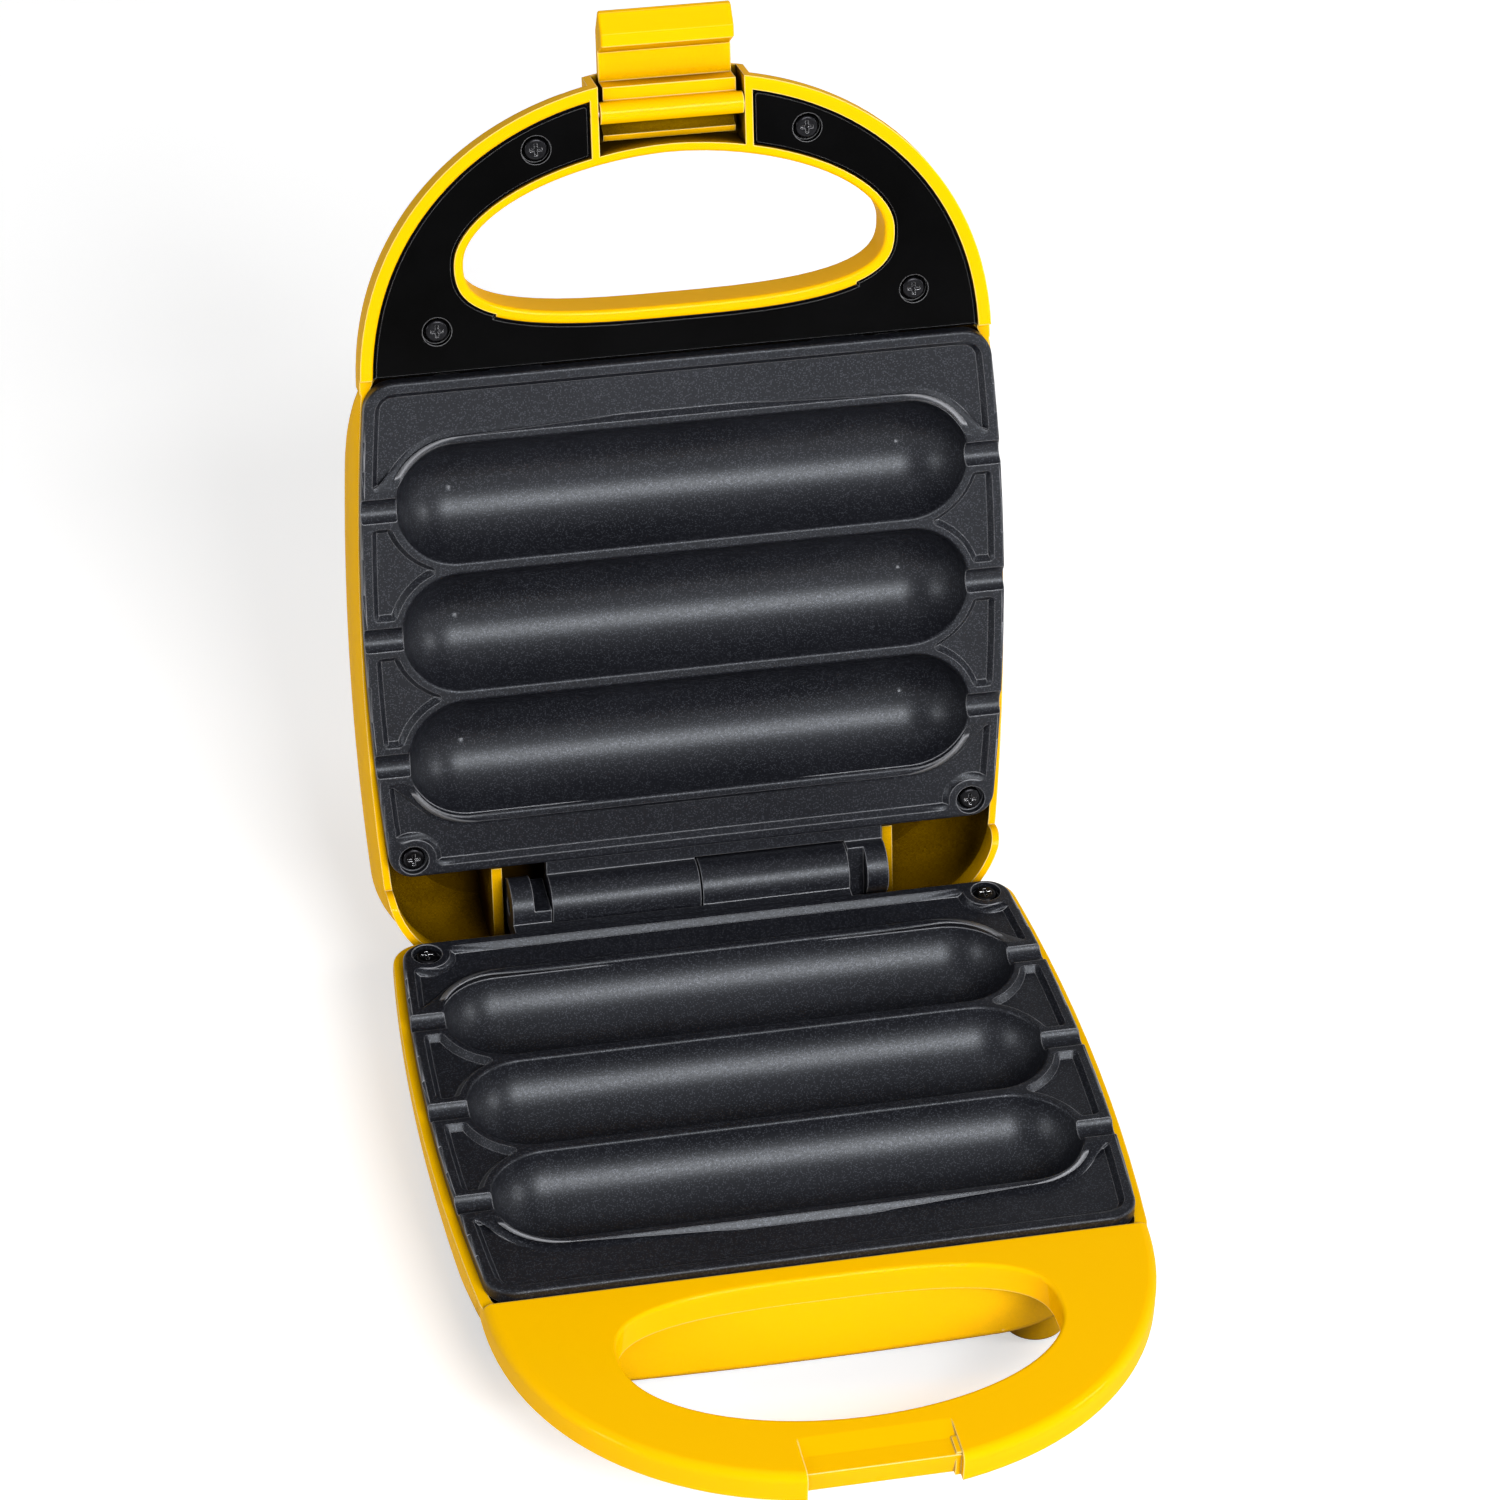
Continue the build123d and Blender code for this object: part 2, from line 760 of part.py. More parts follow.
def cover_recess(inset, lip, wide_lip):
    # The C-shaped area of the upper handle that the cover fills
    area = handle_area(upper_handle_half_width, inset)
    area -= upper_hole(hole_lip + lip)
    rear = upper_hole_centre - 2 * upper_hole_rear
    window = Pos(0, -(rear + upper_hole_centre) / 2) * Rectangle(
        2 * (cover_wide_lip_x + wide_lip), upper_hole_centre - rear
    )
    return area - (upper_hole(cover_wide_lip + wide_lip) & window)


def bay_area(half_width):
    start = upper_hole_centre + upper_hole_front
    return Pos(0, -(start + far) / 2) * Rectangle(2 * half_width, far - start)


def cover_screw_places():
    spots = []
    for side in (-1, 1):
        spots.append((side * cover_front_screw_x, cover_front_screw_reach))
        spots.append((side * cover_rear_screw_x, cover_rear_screw_reach))
    return spots


def bay_back():
    # The handle is thicker behind the latch, so that the latch can swing inside it
    side = bay_half_width + bay_wall
    back = slab(handle_outline(upper_handle_half_width, 0), deck_drop, upper_handle_top)
    back &= block(-side, side, upper_hole_centre, far, deck_drop, upper_handle_top)
    back = fillet(edges_at(back, upper_handle_top), bay_back_round)
    return back - slab(upper_hole(0), 0, upper_handle_top + cut_over)


def upper_handle():
    # The upper D handle, recessed below for its cover and hollow behind it
    handle = slab(handle_outline(upper_handle_half_width, 0), deck_drop, upper_handle_top)
    handle -= across(upper_handle_half_width + cut_over, [
        (handle_centre, upper_handle_top),
        (handle_tip, upper_handle_tip),
        (far, upper_handle_tip),
        (far, upper_handle_top + cut_over),
        (handle_centre, upper_handle_top + cut_over),
    ])
    rim = handle.edges().filter_by(
        lambda edge: edge.bounding_box().min.Z > upper_handle_tip - flat_gap
        and edge.bounding_box().size.Y > hole_half_width
    )
    handle = fillet(rim, upper_handle_round) + bay_back()
    hollow = cover_recess(cover_rim + cover_ledge, cover_ledge, cover_ledge)
    hollow -= bowed_outline(lid_rim_out, apron_reach, 0, seam_corner, base_rear_corner)
    hollow -= bay_area(bay_half_width + bay_wall)
    for face in [face for face in hollow.faces() if face.area > foot_radius**2]:
        deep = slab(face, deck_drop - cut_over, upper_ceiling)
        handle -= deep & across(far, [
            (handle_centre - wall, -far),
            (handle_centre - wall, upper_ceiling),
            (handle_centre, upper_ceiling),
            (handle_tip, upper_handle_tip - wall),
            (far, upper_handle_tip - wall),
            (far, -far),
        ])
    return handle


def make_hood():
    # The rear of the lid comes down behind the hinge
    outline = bowed_outline(
        lid_rim_out, apron_reach, -hood_reach, seam_corner, lid_rim_rear_corner,
        flare=lid_rear_flare,
    )
    side = [(-far, -hood_drop), (-far, rim_level), (hood_front_reach, rim_level)]
    corner = hood_front_reach - hood_corner
    for step in range(outline_steps + 1):
        turn = math.pi / 2 * step / outline_steps
        side.append((corner + hood_corner * math.cos(turn),
                     hood_corner - hood_drop - hood_corner * math.sin(turn)))
    return slab(outline, -hood_drop, rim_level) & across(far, side)


def hood_hollow():
    outline = bowed_outline(
        lid_rim_out - wall, apron_reach - wall, -hood_reach + wall, seam_corner,
        lid_rim_rear_corner - wall, flare=lid_rear_flare,
    )
    rear_part = block(-far, far, -far, plate_rear, -far, far)
    return slab(outline, -hood_drop - cut_over, rim_level + flat_gap) & rear_part


def add_hood_cheeks(body, outer):
    for side in (-1, 1):
        low = side * hood_cheek_x - hood_cheek_thickness / 2
        cheek = block(low, low + hood_cheek_thickness, -hood_reach, hood_cheek_front,
                      hood_cheek_drop, lid_depth)
        body += cheek & outer
    return body


def lens_places():
    return [(side * lamp_x, lamp_reach) for side in (-1, 1)]


def holder_screw_places():
    return [(side * lamp_post_x, lamp_reach) for side in (-1, 1)]


def make_upper_housing():
    outer = upper_tub(0, lid_depth)
    outer = fillet(edges_at(outer, lid_depth), lid_top_round)
    body = outer + upper_handle()
    body -= block(-far, far, hood_front_reach, deck_edge, 0, rim_level)
    body += make_hood()
    body -= upper_tub(wall, lid_ceiling)
    body -= hood_hollow()
    seat = cover_recess(cover_rim, 0, 0) - bay_area(bay_half_width + bay_wall)
    for face in [face for face in seat.faces() if face.area > foot_radius**2]:
        body -= slab(face, deck_drop - cut_over, cover_seat)
    body = add_hood_cheeks(body, outer)
    body = cut_hand_hole(body, upper_hole(0), deck_drop, upper_handle_top, [deck_drop])
    bay = bay_area(bay_half_width) - upper_hole(hole_lip)
    for face in bay.faces():
        body -= slab(face, 0, upper_ceiling)
    pin_hole = latch_pin_radius + running_clearance
    end = bay_half_width + bay_wall
    body -= rod(-end - cut_over, end + cut_over, latch_pivot_reach, latch_pivot_height, pin_hole)
    for x, reach in cover_screw_places():
        low = cover_face + cover_cup_depth + flat_gap
        body += post(x, reach, low, back_level(reach) - wall / 2, cover_post_radius)
        body -= post(x, reach, low - cut_over, cover_screw_tip + flat_gap,
                     plate_screw_shank + running_clearance)
    return add_lid_posts(body, outer)


def back_level(reach):
    # The height of the upper handle's sloping back at one reach
    share = (reach - handle_centre) / handle_reach
    return upper_handle_top + (upper_handle_tip - upper_handle_top) * share


def add_lid_posts(body, outer):
    # Bosses for the plate screws, holes for the lenses and posts for the lamp holder
    for x, reach in plate_screw_places():
        body += post(x, reach, rim_level, lid_depth, housing_post_radius) & outer
        top = screw_recess_depth + plate_screw_length + flat_gap
        bore = plate_screw_shank + running_clearance
        body -= post(x, reach, rim_level - cut_over, top, bore)
    for x, reach in lens_places():
        body -= post(x, reach, lid_ceiling - cut_over, lid_depth + cut_over, lens_radius + flat_gap)
    bore = small_screw_shank + running_clearance
    for x, reach in holder_screw_places():
        body += post(x, reach, lid_ceiling - lamp_holder_drop, lid_ceiling, lamp_post_radius)
        body -= post(x, reach, lid_ceiling - lamp_holder_drop - cut_over, lid_ceiling, bore)
    return body


def make_handle_cover():
    area = cover_recess(cover_rim + cover_gap, cover_gap, cover_gap)
    area -= bay_area(bay_half_width + bay_wall + cover_gap)
    area -= Pos(0, -cover_rear_reach / 2) * Rectangle(far, cover_rear_reach)
    cover = None
    for face in [face for face in area.faces() if face.area > foot_radius**2]:
        piece = slab(face, cover_face, cover_seat)
        cover = piece if cover is None else cover + piece
    bay_side = bay_half_width + bay_wall + cover_gap
    corners = cover.edges().filter_by(Axis.Z).filter_by(
        lambda edge: abs(abs(edge.center().X) - bay_side) < level_tolerance
    )
    cover = fillet(corners, cover_corner)
    cover = chamfer(edges_at(cover, cover_face), cover_edge_bevel)
    for x, reach in cover_screw_places():
        cover += post(x, reach, cover_face + cover_edge_bevel, cover_face + cover_cup_depth,
                      cover_cup_radius)
    for x, reach in cover_screw_places():
        cover -= post(x, reach, cover_face - cut_over, cover_face + cover_recess_depth,
                      cover_recess_radius)
        cover -= post(x, reach, cover_face, cover_seat + cover_cup_depth,
                      plate_screw_shank + flat_gap)
    return cover


def make_latch():
    # Drawn swung open, with its pivot on the origin and its finger grip forward
    corners = [
        (0, latch_arm_face),
        (latch_arm_end, latch_arm_face),
        (latch_arm_end, latch_plate_face),
        (latch_hook_root, latch_plate_face),
        (latch_hook_tip, latch_arm_face),
        (latch_hook_crease, latch_arm_face + flat_gap),
        (latch_grip_end, latch_grip_face),
        (latch_grip_end + fit_gap, latch_grip_edge),
        (latch_hook_crease + fit_gap, latch_plate_back),
        (0, latch_plate_back),
    ]
    body = across(latch_half_width, corners)
    barrel_end = bay_half_width - fit_gap
    body += rod(-barrel_end, barrel_end, 0, 0, latch_barrel_radius)
    shield = rod(-latch_half_width, latch_half_width, 0, 0, latch_plate_back)
    shield -= rod(-far, far, 0, 0, latch_plate_back - latch_shield_wall)
    shield &= block(-far, far, -far, 0, 0, far)
    lean = math.radians(latch_shield_angle)
    corner = (-far * math.sin(lean), far * math.cos(lean))
    shield &= across(latch_half_width, [(0, 0), corner, (-far, far), (0, far)])
    body += shield
    cheek = rod(-latch_half_width, latch_half_width, 0, 0, latch_plate_back - latch_shield_wall / 2)
    cheek &= block(-far, far, -latch_barrel_radius, latch_barrel_radius, 0, far)
    body += cheek
    sides = body.edges().filter_by(
        lambda edge: abs(abs(edge.center().X) - latch_half_width) < level_tolerance
        and edge.center().Y < -latch_hook_root
    )
    body = fillet(sides, latch_end_round)
    body -= rod(-far, far, 0, 0, latch_pin_radius + running_clearance)
    return place(0, latch_pivot_reach, latch_pivot_height) * body


def make_latch_pin():
    end = bay_half_width + bay_wall - fit_gap
    return rod(-end, end, latch_pivot_reach, latch_pivot_height, latch_pin_radius)


def make_hinge_pin():
    end = knuckle_outer_end - flat_gap
    return rod(-end, end, 0, 0, pin_radius)


def screw(shank, head, head_height, length):
    # A pan-head screw with a cross recess; its head rests on z = 0 and it points down
    top = Pos(0, 0, head_height / 2) * Cylinder(head, head_height)
    top = fillet(edges_at(top, head_height), head_height / 2)
    for turn in (0, 90):
        arm = Box(2 * cross_arm_length, cross_arm_width, 2 * cross_depth)
        top -= Pos(0, 0, head_height) * Rot(0, 0, turn) * arm
    body = top + Pos(0, 0, -length / 2) * Cylinder(shank, length)
    tip = edges_at(body, -length)
    return chamfer(tip, shank / 2)


def big_screw(length):
    return screw(plate_screw_shank, plate_screw_head, plate_screw_head_height, length)


def small_screw(length):
    return screw(small_screw_shank, small_screw_head, small_screw_head_height, length)


def screw_set(kind, spots, z, upward):
    # The same screw at several places, pointing down, or up if it is driven from below
    turn = Rot(180, 0, 0) if upward else Rot(0, 0, 0)
    return [place(x, reach, z) * turn * kind for x, reach in spots]


def shield_screw_places():
    reaches = (shield_post_front, shield_post_rear)
    return [(side * shield_post_x, reach) for side in (-1, 1) for reach in reaches]


def control_screw_places():
    spots = [(thermostat_x + side * thermostat_ear, thermostat_reach) for side in (-1, 1)]
    return spots + [(fuse_x, fuse_screw_reach)]


def make_heating_element():
    # A sheathed tube bent round one cavity, with a terminal stud at each end
    near = cavity_middle - cavity_pitch / 2
    away = cavity_middle + cavity_pitch / 2
    start = -cavity_straight - tube_tail
    path = Line((start, -near, -tube_level), (cavity_straight, -near, -tube_level))
    bend_tip = (cavity_straight + cavity_pitch / 2, -cavity_middle, -tube_level)
    path += ThreePointArc(path @ 1, bend_tip, (cavity_straight, -away, -tube_level))
    path += Line(path @ 1, (start, -away, -tube_level))
    profile = Plane(origin=(start, -near, -tube_level), z_dir=(1, 0, 0)) * Circle(tube_radius)
    tube = sweep(profile, path=path)
    for reach in (near, away):
        tube += rod(start - insulator_length, start, reach, -tube_level, insulator_radius)
        tube += rod(start - terminal_length, start, reach, -tube_level, terminal_radius)
    return tube


def make_cradles():
    # Small blocks on the heat shield that carry the two legs of the element
    pieces = []
    for side in (-1, 1):
        for reach in (cavity_middle - cavity_pitch / 2, cavity_middle + cavity_pitch / 2):
            low = side * cradle_x - cradle_length / 2
            piece = block(low, low + cradle_length, reach - cradle_width / 2,
                          reach + cradle_width / 2, -shield_level, -shield_level + cradle_height)
            pieces.append(piece - rod(-far, far, reach, -tube_level, tube_radius + running_clearance))
    return pieces


def make_heat_shield():
    # A thin plate under the heating element, screwed to the posts of the casting
    middle = (shield_front + shield_rear) / 2
    area = Pos(0, -middle) * RectangleRounded(
        2 * shield_half_width, shield_front - shield_rear, shield_corner
    )
    for x, reach in shield_screw_places():
        area += Pos(x, -reach) * Circle(shield_tab_radius)
        area += Pos(x, -(reach + middle) / 2) * Rectangle(2 * shield_tab_radius, abs(reach - middle))
    for x, reach in shield_screw_places():
        area -= Pos(x, -reach) * Circle(small_screw_shank + flat_gap)
    return slab(area, -shield_level - shield_thickness, -shield_level)


def make_thermostat():
    # A round control that is screwed to the underside of the plate by two ears
    top = -plate_rim
    body = post(thermostat_x, thermostat_reach, top - thermostat_height, top, thermostat_radius)
    low = top - thermostat_height - thermostat_cap_height
    body += post(thermostat_x, thermostat_reach, low, top - thermostat_height, thermostat_cap_radius)
    ear = thermostat_ear_width / 2
    ears = block(thermostat_x - thermostat_ear, thermostat_x + thermostat_ear,
                 thermostat_reach - ear, thermostat_reach + ear, top - thermostat_ear_thickness, top)
    for side in (-1, 1):
        x = thermostat_x + side * thermostat_ear
        ears += post(x, thermostat_reach, top - thermostat_ear_thickness, top, ear)
    body += ears
    for side in (-1, 1):
        x = thermostat_x + side * thermostat_ear
        body -= post(x, thermostat_reach, top - thermostat_height, top + cut_over,
                     small_screw_shank + flat_gap)
        tab_x = thermostat_x + side * thermostat_tab_offset
        body += block(tab_x - thermostat_tab_thickness / 2, tab_x + thermostat_tab_thickness / 2,
                      thermostat_reach - thermostat_tab_width / 2,
                      thermostat_reach + thermostat_tab_width / 2,
                      low - thermostat_tab_length / 2, low)
    return body


def make_thermal_fuse():
    # A small fuse in its sleeve, lying along X under the rear of the plate
    sleeve = fuse_radius + fuse_sleeve_wall
    z = -plate_rim - sleeve
    half = fuse_sleeve_length / 2
    body = rod(fuse_x - half, fuse_x + half, fuse_reach, z, sleeve)
    end = half + terminal_length / 2
    return body + rod(fuse_x - end, fuse_x + end, fuse_reach, z, terminal_radius / 2)


def make_fuse_bracket():
    # A strap round the fuse with one screwed foot
    sleeve = fuse_radius + fuse_sleeve_wall
    z = -plate_rim - sleeve
    half = fuse_bracket_width / 2
    outside = sleeve + fuse_bracket_wall
    strap = rod(fuse_x - half, fuse_x + half, fuse_reach, z, outside)
    strap += block(fuse_x - half, fuse_x + half, fuse_reach - outside, fuse_reach + outside,
                   z, -plate_rim)
    strap += block(fuse_x - half, fuse_x + half, fuse_screw_reach - half, fuse_reach,
                   -plate_rim - fuse_bracket_wall, -plate_rim)
    strap &= block(-far, far, 0, far, -far, -plate_rim)
    strap -= rod(-far, far, fuse_reach, z, sleeve)
    strap -= block(-far, far, fuse_reach - sleeve, fuse_reach + sleeve, z, 0)
    hole = post(fuse_x, fuse_screw_reach, -far, 0, small_screw_shank + flat_gap)
    return strap - hole


def make_terminal_block():
    top = -block_base + block_height
    body = block(block_x - block_length / 2, block_x + block_length / 2,
                 block_reach - block_width / 2, block_reach + block_width / 2, -block_base, top)
    for x, reach in block_screw_places():
        body -= post(x, reach, -block_base - cut_over, top + cut_over,
                     small_screw_shank + flat_gap)
        body -= post(x, reach, top - small_screw_head_height - flat_gap, top + cut_over,
                     small_screw_head + flat_gap)
    for step in (-1, 1):
        x = block_x + step * block_pitch / 2
        wire = Cylinder(block_wire_bore, block_width + 2 * cut_over)
        body -= place(x, block_reach, -block_base + block_height / 2) * Rot(90, 0, 0) * wire
    return body


def make_cord_clamp():
    body = block(cord_x - clamp_length / 2, cord_x + clamp_length / 2,
                 clamp_reach - clamp_width / 2, clamp_reach + clamp_width / 2,
                 -cord_height, -cord_height + clamp_height)
    groove = Cylinder(clamp_cord_radius, clamp_width + 2 * cut_over)
    body -= place(cord_x, clamp_reach, -cord_height) * Rot(90, 0, 0) * groove
    for x, reach in clamp_screw_places():
        body -= post(x, reach, -far, 0, small_screw_shank + flat_gap)
    return body


def make_grommet():
    # A bush that lines the cord hole, with a flange on each side of the rear wall
    def ring(radius, reach_low, reach_high):
        middle = (reach_low + reach_high) / 2
        return place(cord_x, middle, -cord_height) * Rot(90, 0, 0) * Cylinder(
            radius, reach_high - reach_low
        )

    rear = base_rear_reach - grommet_flange
    front = base_rear_reach + wall + grommet_inner_flange
    body = ring(grommet_radius, rear, front)
    body += ring(grommet_flange_radius, rear, base_rear_reach)
    body += ring(grommet_flange_radius, base_rear_reach + wall, front)
    return body - ring(cord_bore, rear - cut_over, front + cut_over)


def make_foot_pads():
    top = -foot_bottom + pad_thickness - pad_proud
    return [post(x, reach, top - pad_thickness, top, pad_radius) for x, reach in foot_places()]


def make_lens(x, reach):
    # A hollow cap that snaps into the lid from above
    lens = post(x, reach, lid_depth, lid_depth + lens_flange, lens_flange_radius)
    top = edges_at(lens, lid_depth + lens_flange)
    lens = fillet(top, lens_flange / 2)
    lens += post(x, reach, lid_depth - lens_barrel, lid_depth, lens_radius)
    lens -= post(x, reach, lid_depth - lens_barrel - cut_over, lid_depth - lens_proud,
                 lens_radius - lens_proud)
    return lens


def make_lamps():
    low = lid_ceiling - lamp_holder_drop
    lamps = []
    for x, reach in lens_places():
        lamp = post(x, reach, low, low + lamp_length, lamp_radius)
        lamps.append(fillet(edges_at(lamp, low + lamp_length), lamp_radius / 2))
    return lamps


def make_lamp_holder():
    top = lid_ceiling - lamp_holder_drop
    area = Pos(0, -lamp_reach) * RectangleRounded(
        lamp_holder_length, lamp_holder_width, lamp_holder_thickness
    )
    for x, reach in holder_screw_places():
        area -= Pos(x, -reach) * Circle(small_screw_shank + flat_gap)
    return slab(area, top - lamp_holder_thickness, top)


def add_underside_holes(plate):
    # Blind holes under the plate for the screws of the thermostat and the fuse clip
    top = -plate_rim - fuse_bracket_wall + control_screw_length + flat_gap
    for x, reach in control_screw_places():
        plate -= post(x, reach, -plate_rim - cut_over, top, small_screw_shank + running_clearance)
    return plate


def lid_side(pieces):
    # Pieces of the lid that are drawn below the mating faces, turned over onto the lid
    return [turned_over(piece) for piece in pieces]


def make_pieces():
    # Each node's solids, in the closed pose, and whether they ride on the lid
    casting = add_underside_holes(cast_plate())
    element = make_heating_element()
    shield = make_heat_shield()
    cradles = make_cradles()
    plate_screws = screw_set(
        big_screw(plate_screw_length), plate_screw_places(), -screw_recess_depth, False
    )
    small = small_screw(small_screw_length)
    shield_under = -shield_level - shield_thickness
    shield_screws = screw_set(small, shield_screw_places(), shield_under, True)
    ear_under = -plate_rim - thermostat_ear_thickness
    control_screws = screw_set(
        small_screw(control_screw_length), control_screw_places()[:2], ear_under, True
    )
    control_screws += screw_set(
        small_screw(control_screw_length), control_screw_places()[2:],
        -plate_rim - fuse_bracket_wall, True
    )
    block_top = -block_base + block_height - small_screw_head_height - flat_gap
    block_screws = screw_set(small_screw(block_screw_length), block_screw_places(), block_top, False)
    clamp_top = -cord_height + clamp_height
    clamp_screws = screw_set(
        small_screw(block_screw_length), clamp_screw_places(), clamp_top, False
    )
    cover_screw_level = cover_face + cover_recess_depth
    cover_screws = screw_set(
        big_screw(cover_screw_length), cover_screw_places(), cover_screw_level, True
    )
    holder_under = lid_ceiling - lamp_holder_drop - lamp_holder_thickness
    holder_screws = screw_set(small, holder_screw_places(), holder_under, True)
    lenses = [make_lens(x, reach) for x, reach in lens_places()]
    base = {
        "lower_housing": [make_lower_housing()],
        "lower_plate": [casting],
        "lower_plate_screws": plate_screws,
        "hinge_pin": [make_hinge_pin()],
        "lower_heating_element": [element],
        "lower_heater_cradles": cradles,
        "lower_heat_shield": [shield],
        "lower_shield_screws": shield_screws,
        "thermostat": [make_thermostat()],
        "thermal_fuse": [make_thermal_fuse()],
        "fuse_bracket": [make_fuse_bracket()],
        "control_screws": control_screws,
        "terminal_block": [make_terminal_block()],
        "terminal_block_screws": block_screws,
        "cord_grommet": [make_grommet()],
        "cord_clamp": [make_cord_clamp()],
        "cord_clamp_screws": clamp_screws,
        "foot_pads": make_foot_pads(),
    }
    lid = {
        "upper_housing": [make_upper_housing()],
        "upper_plate": lid_side([casting]),
        "upper_plate_screws": lid_side(plate_screws),
        "upper_heating_element": lid_side([element]),
        "upper_heater_cradles": lid_side(cradles),
        "upper_heat_shield": lid_side([shield]),
        "upper_shield_screws": lid_side(shield_screws),
        "handle_cover": [make_handle_cover()],
        "handle_cover_screws": cover_screws,
        "latch": [make_latch()],
        "latch_pin": [make_latch_pin()],
        "power_lens": [lenses[0]],
        "ready_lens": [lenses[1]],
        "neon_lamps": make_lamps(),
        "lamp_holder": [make_lamp_holder()],
        "lamp_holder_screws": holder_screws,
    }
    return base, lid


def main():
    os.makedirs("parts", exist_ok=True)
    base, lid = make_pieces()
    opening = Rot(-lid_open_angle, 0, 0)
    placed = dict(base)
    for name, solids in lid.items():
        placed[name] = [opening * solid for solid in solids]
    whole = Compound(children=[solid for solids in placed.values() for solid in solids])
    box = whole.bounding_box()
    middle = (box.min + box.max) / 2
    shift = Pos(-middle.X, -middle.Y, -box.min.Z)
    for name, solids in placed.items():
        bodies = [body for solid in solids for body in (shift * solid).solids()]
        shape = bodies[0] if len(bodies) == 1 else Compound(children=bodies)
        export_step(shape, os.path.join("parts", name + ".step"))
        print(name, len(bodies), round(sum(body.volume for body in bodies)))
    pivot = shift * opening * place(0, latch_pivot_reach, latch_pivot_height)
    print("hinge axis", shift.position)
    print("latch axis", pivot.position)
    print("size", box.size)


main()
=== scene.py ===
import json
import math

import bpy
from mathutils import Matrix, Vector


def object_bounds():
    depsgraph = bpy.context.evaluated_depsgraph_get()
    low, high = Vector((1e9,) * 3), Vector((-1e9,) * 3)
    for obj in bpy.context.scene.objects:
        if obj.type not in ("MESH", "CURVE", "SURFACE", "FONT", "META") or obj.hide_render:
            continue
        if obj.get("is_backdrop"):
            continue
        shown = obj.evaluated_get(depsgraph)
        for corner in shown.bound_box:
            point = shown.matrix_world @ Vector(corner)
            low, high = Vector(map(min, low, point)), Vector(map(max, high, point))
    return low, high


print("loading the frame")
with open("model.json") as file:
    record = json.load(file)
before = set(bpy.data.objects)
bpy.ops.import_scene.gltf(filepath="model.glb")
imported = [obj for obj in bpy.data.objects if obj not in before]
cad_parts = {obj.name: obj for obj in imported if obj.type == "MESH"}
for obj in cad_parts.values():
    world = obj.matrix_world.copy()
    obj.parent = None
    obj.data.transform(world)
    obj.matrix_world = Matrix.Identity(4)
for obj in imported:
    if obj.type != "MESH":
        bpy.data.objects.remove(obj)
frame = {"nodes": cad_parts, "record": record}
nodes = frame["nodes"]


def plainBounds(found):
    return json.loads(json.dumps(found, default=list))


sizeNotes = {"before": plainBounds(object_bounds())}


def newGroup(name, inputs, outputs):
    # Every input is a number with a default, and outputs give their socket kinds
    tree = bpy.data.node_groups.new(name, "ShaderNodeTree")
    for label, value in inputs.items():
        socket = tree.interface.new_socket(
            name=label, in_out="INPUT", socket_type="NodeSocketFloat")
        socket.default_value = value
    for label, kind in outputs.items():
        tree.interface.new_socket(name=label, in_out="OUTPUT", socket_type=kind)
    return tree, tree.nodes.new("NodeGroupInput"), tree.nodes.new("NodeGroupOutput")


def addNode(tree, kind, **settings):
    node = tree.nodes.new(kind)
    for key, value in settings.items():
        setattr(node, key, value)
    return node


def setInputs(node, values):
    for label, value in values.items():
        node.inputs[label].default_value = value


def feed(tree, value, socket):
    # A number or a colour is set on the socket, anything else is linked to it
    if isinstance(value, (int, float, tuple)):
        socket.default_value = value
    else:
        tree.links.new(value, socket)


def objectPlace(tree):
    return addNode(tree, "ShaderNodeTexCoord").outputs["Object"]


def mathNode(tree, operation, *values):
    node = addNode(tree, "ShaderNodeMath", operation=operation)
    for index, value in enumerate(values):
        feed(tree, value, node.inputs[index])
    return node.outputs[0]


def noiseNode(tree, vector, scale, detail, roughness, distortion=0.0):
    node = addNode(tree, "ShaderNodeTexNoise", noise_dimensions="3D")
    setInputs(node, {"Detail": detail, "Roughness": roughness, "Distortion": distortion})
    feed(tree, scale, node.inputs["Scale"])
    tree.links.new(vector, node.inputs["Vector"])
    return node.outputs["Fac"]


def rampNode(tree, value, low, high):
    # 0 at low and 1 at high, and low may be the larger of the two
    node = addNode(tree, "ShaderNodeMapRange", clamp=True)
    setInputs(node, {"From Min": low, "From Max": high})
    tree.links.new(value, node.inputs["Value"])
    return node.outputs["Result"]


def spread(tree, factor, low, high):
    # A factor of 0 to 1 becomes low to high
    node = addNode(tree, "ShaderNodeMapRange", clamp=True)
    setInputs(node, {"To Min": low, "To Max": high})
    tree.links.new(factor, node.inputs["Value"])
    return node.outputs["Result"]


def mixColour(tree, factor, first, second):
    # Sockets 0, 6 and 7 are the factor and the two colours, output 2 is their mix
    node = addNode(tree, "ShaderNodeMix", data_type="RGBA", blend_type="MIX")
    for index, value in ((0, factor), (6, first), (7, second)):
        feed(tree, value, node.inputs[index])
    return node.outputs[2]


def bumpNode(tree, height, strength, distance, normal):
    node = addNode(tree, "ShaderNodeBump")
    setInputs(node, {"Strength": strength, "Distance": distance})
    tree.links.new(height, node.inputs["Height"])
    tree.links.new(normal, node.inputs["Normal"])
    return node.outputs["Normal"]


def rgba(colour):
    return (*colour, 1.0)


# Fine moulded or sprayed grain, as a height and as a spread of values
grainLook = {
    "coarseDetail": 4.0,
    "coarseRough": 0.6,
    "finerRatio": 2.7,
    "finerDetail": 2.0,
    "finerRough": 0.5,
    "valueFrom": 0.3,
    "valueTo": 0.7,
}


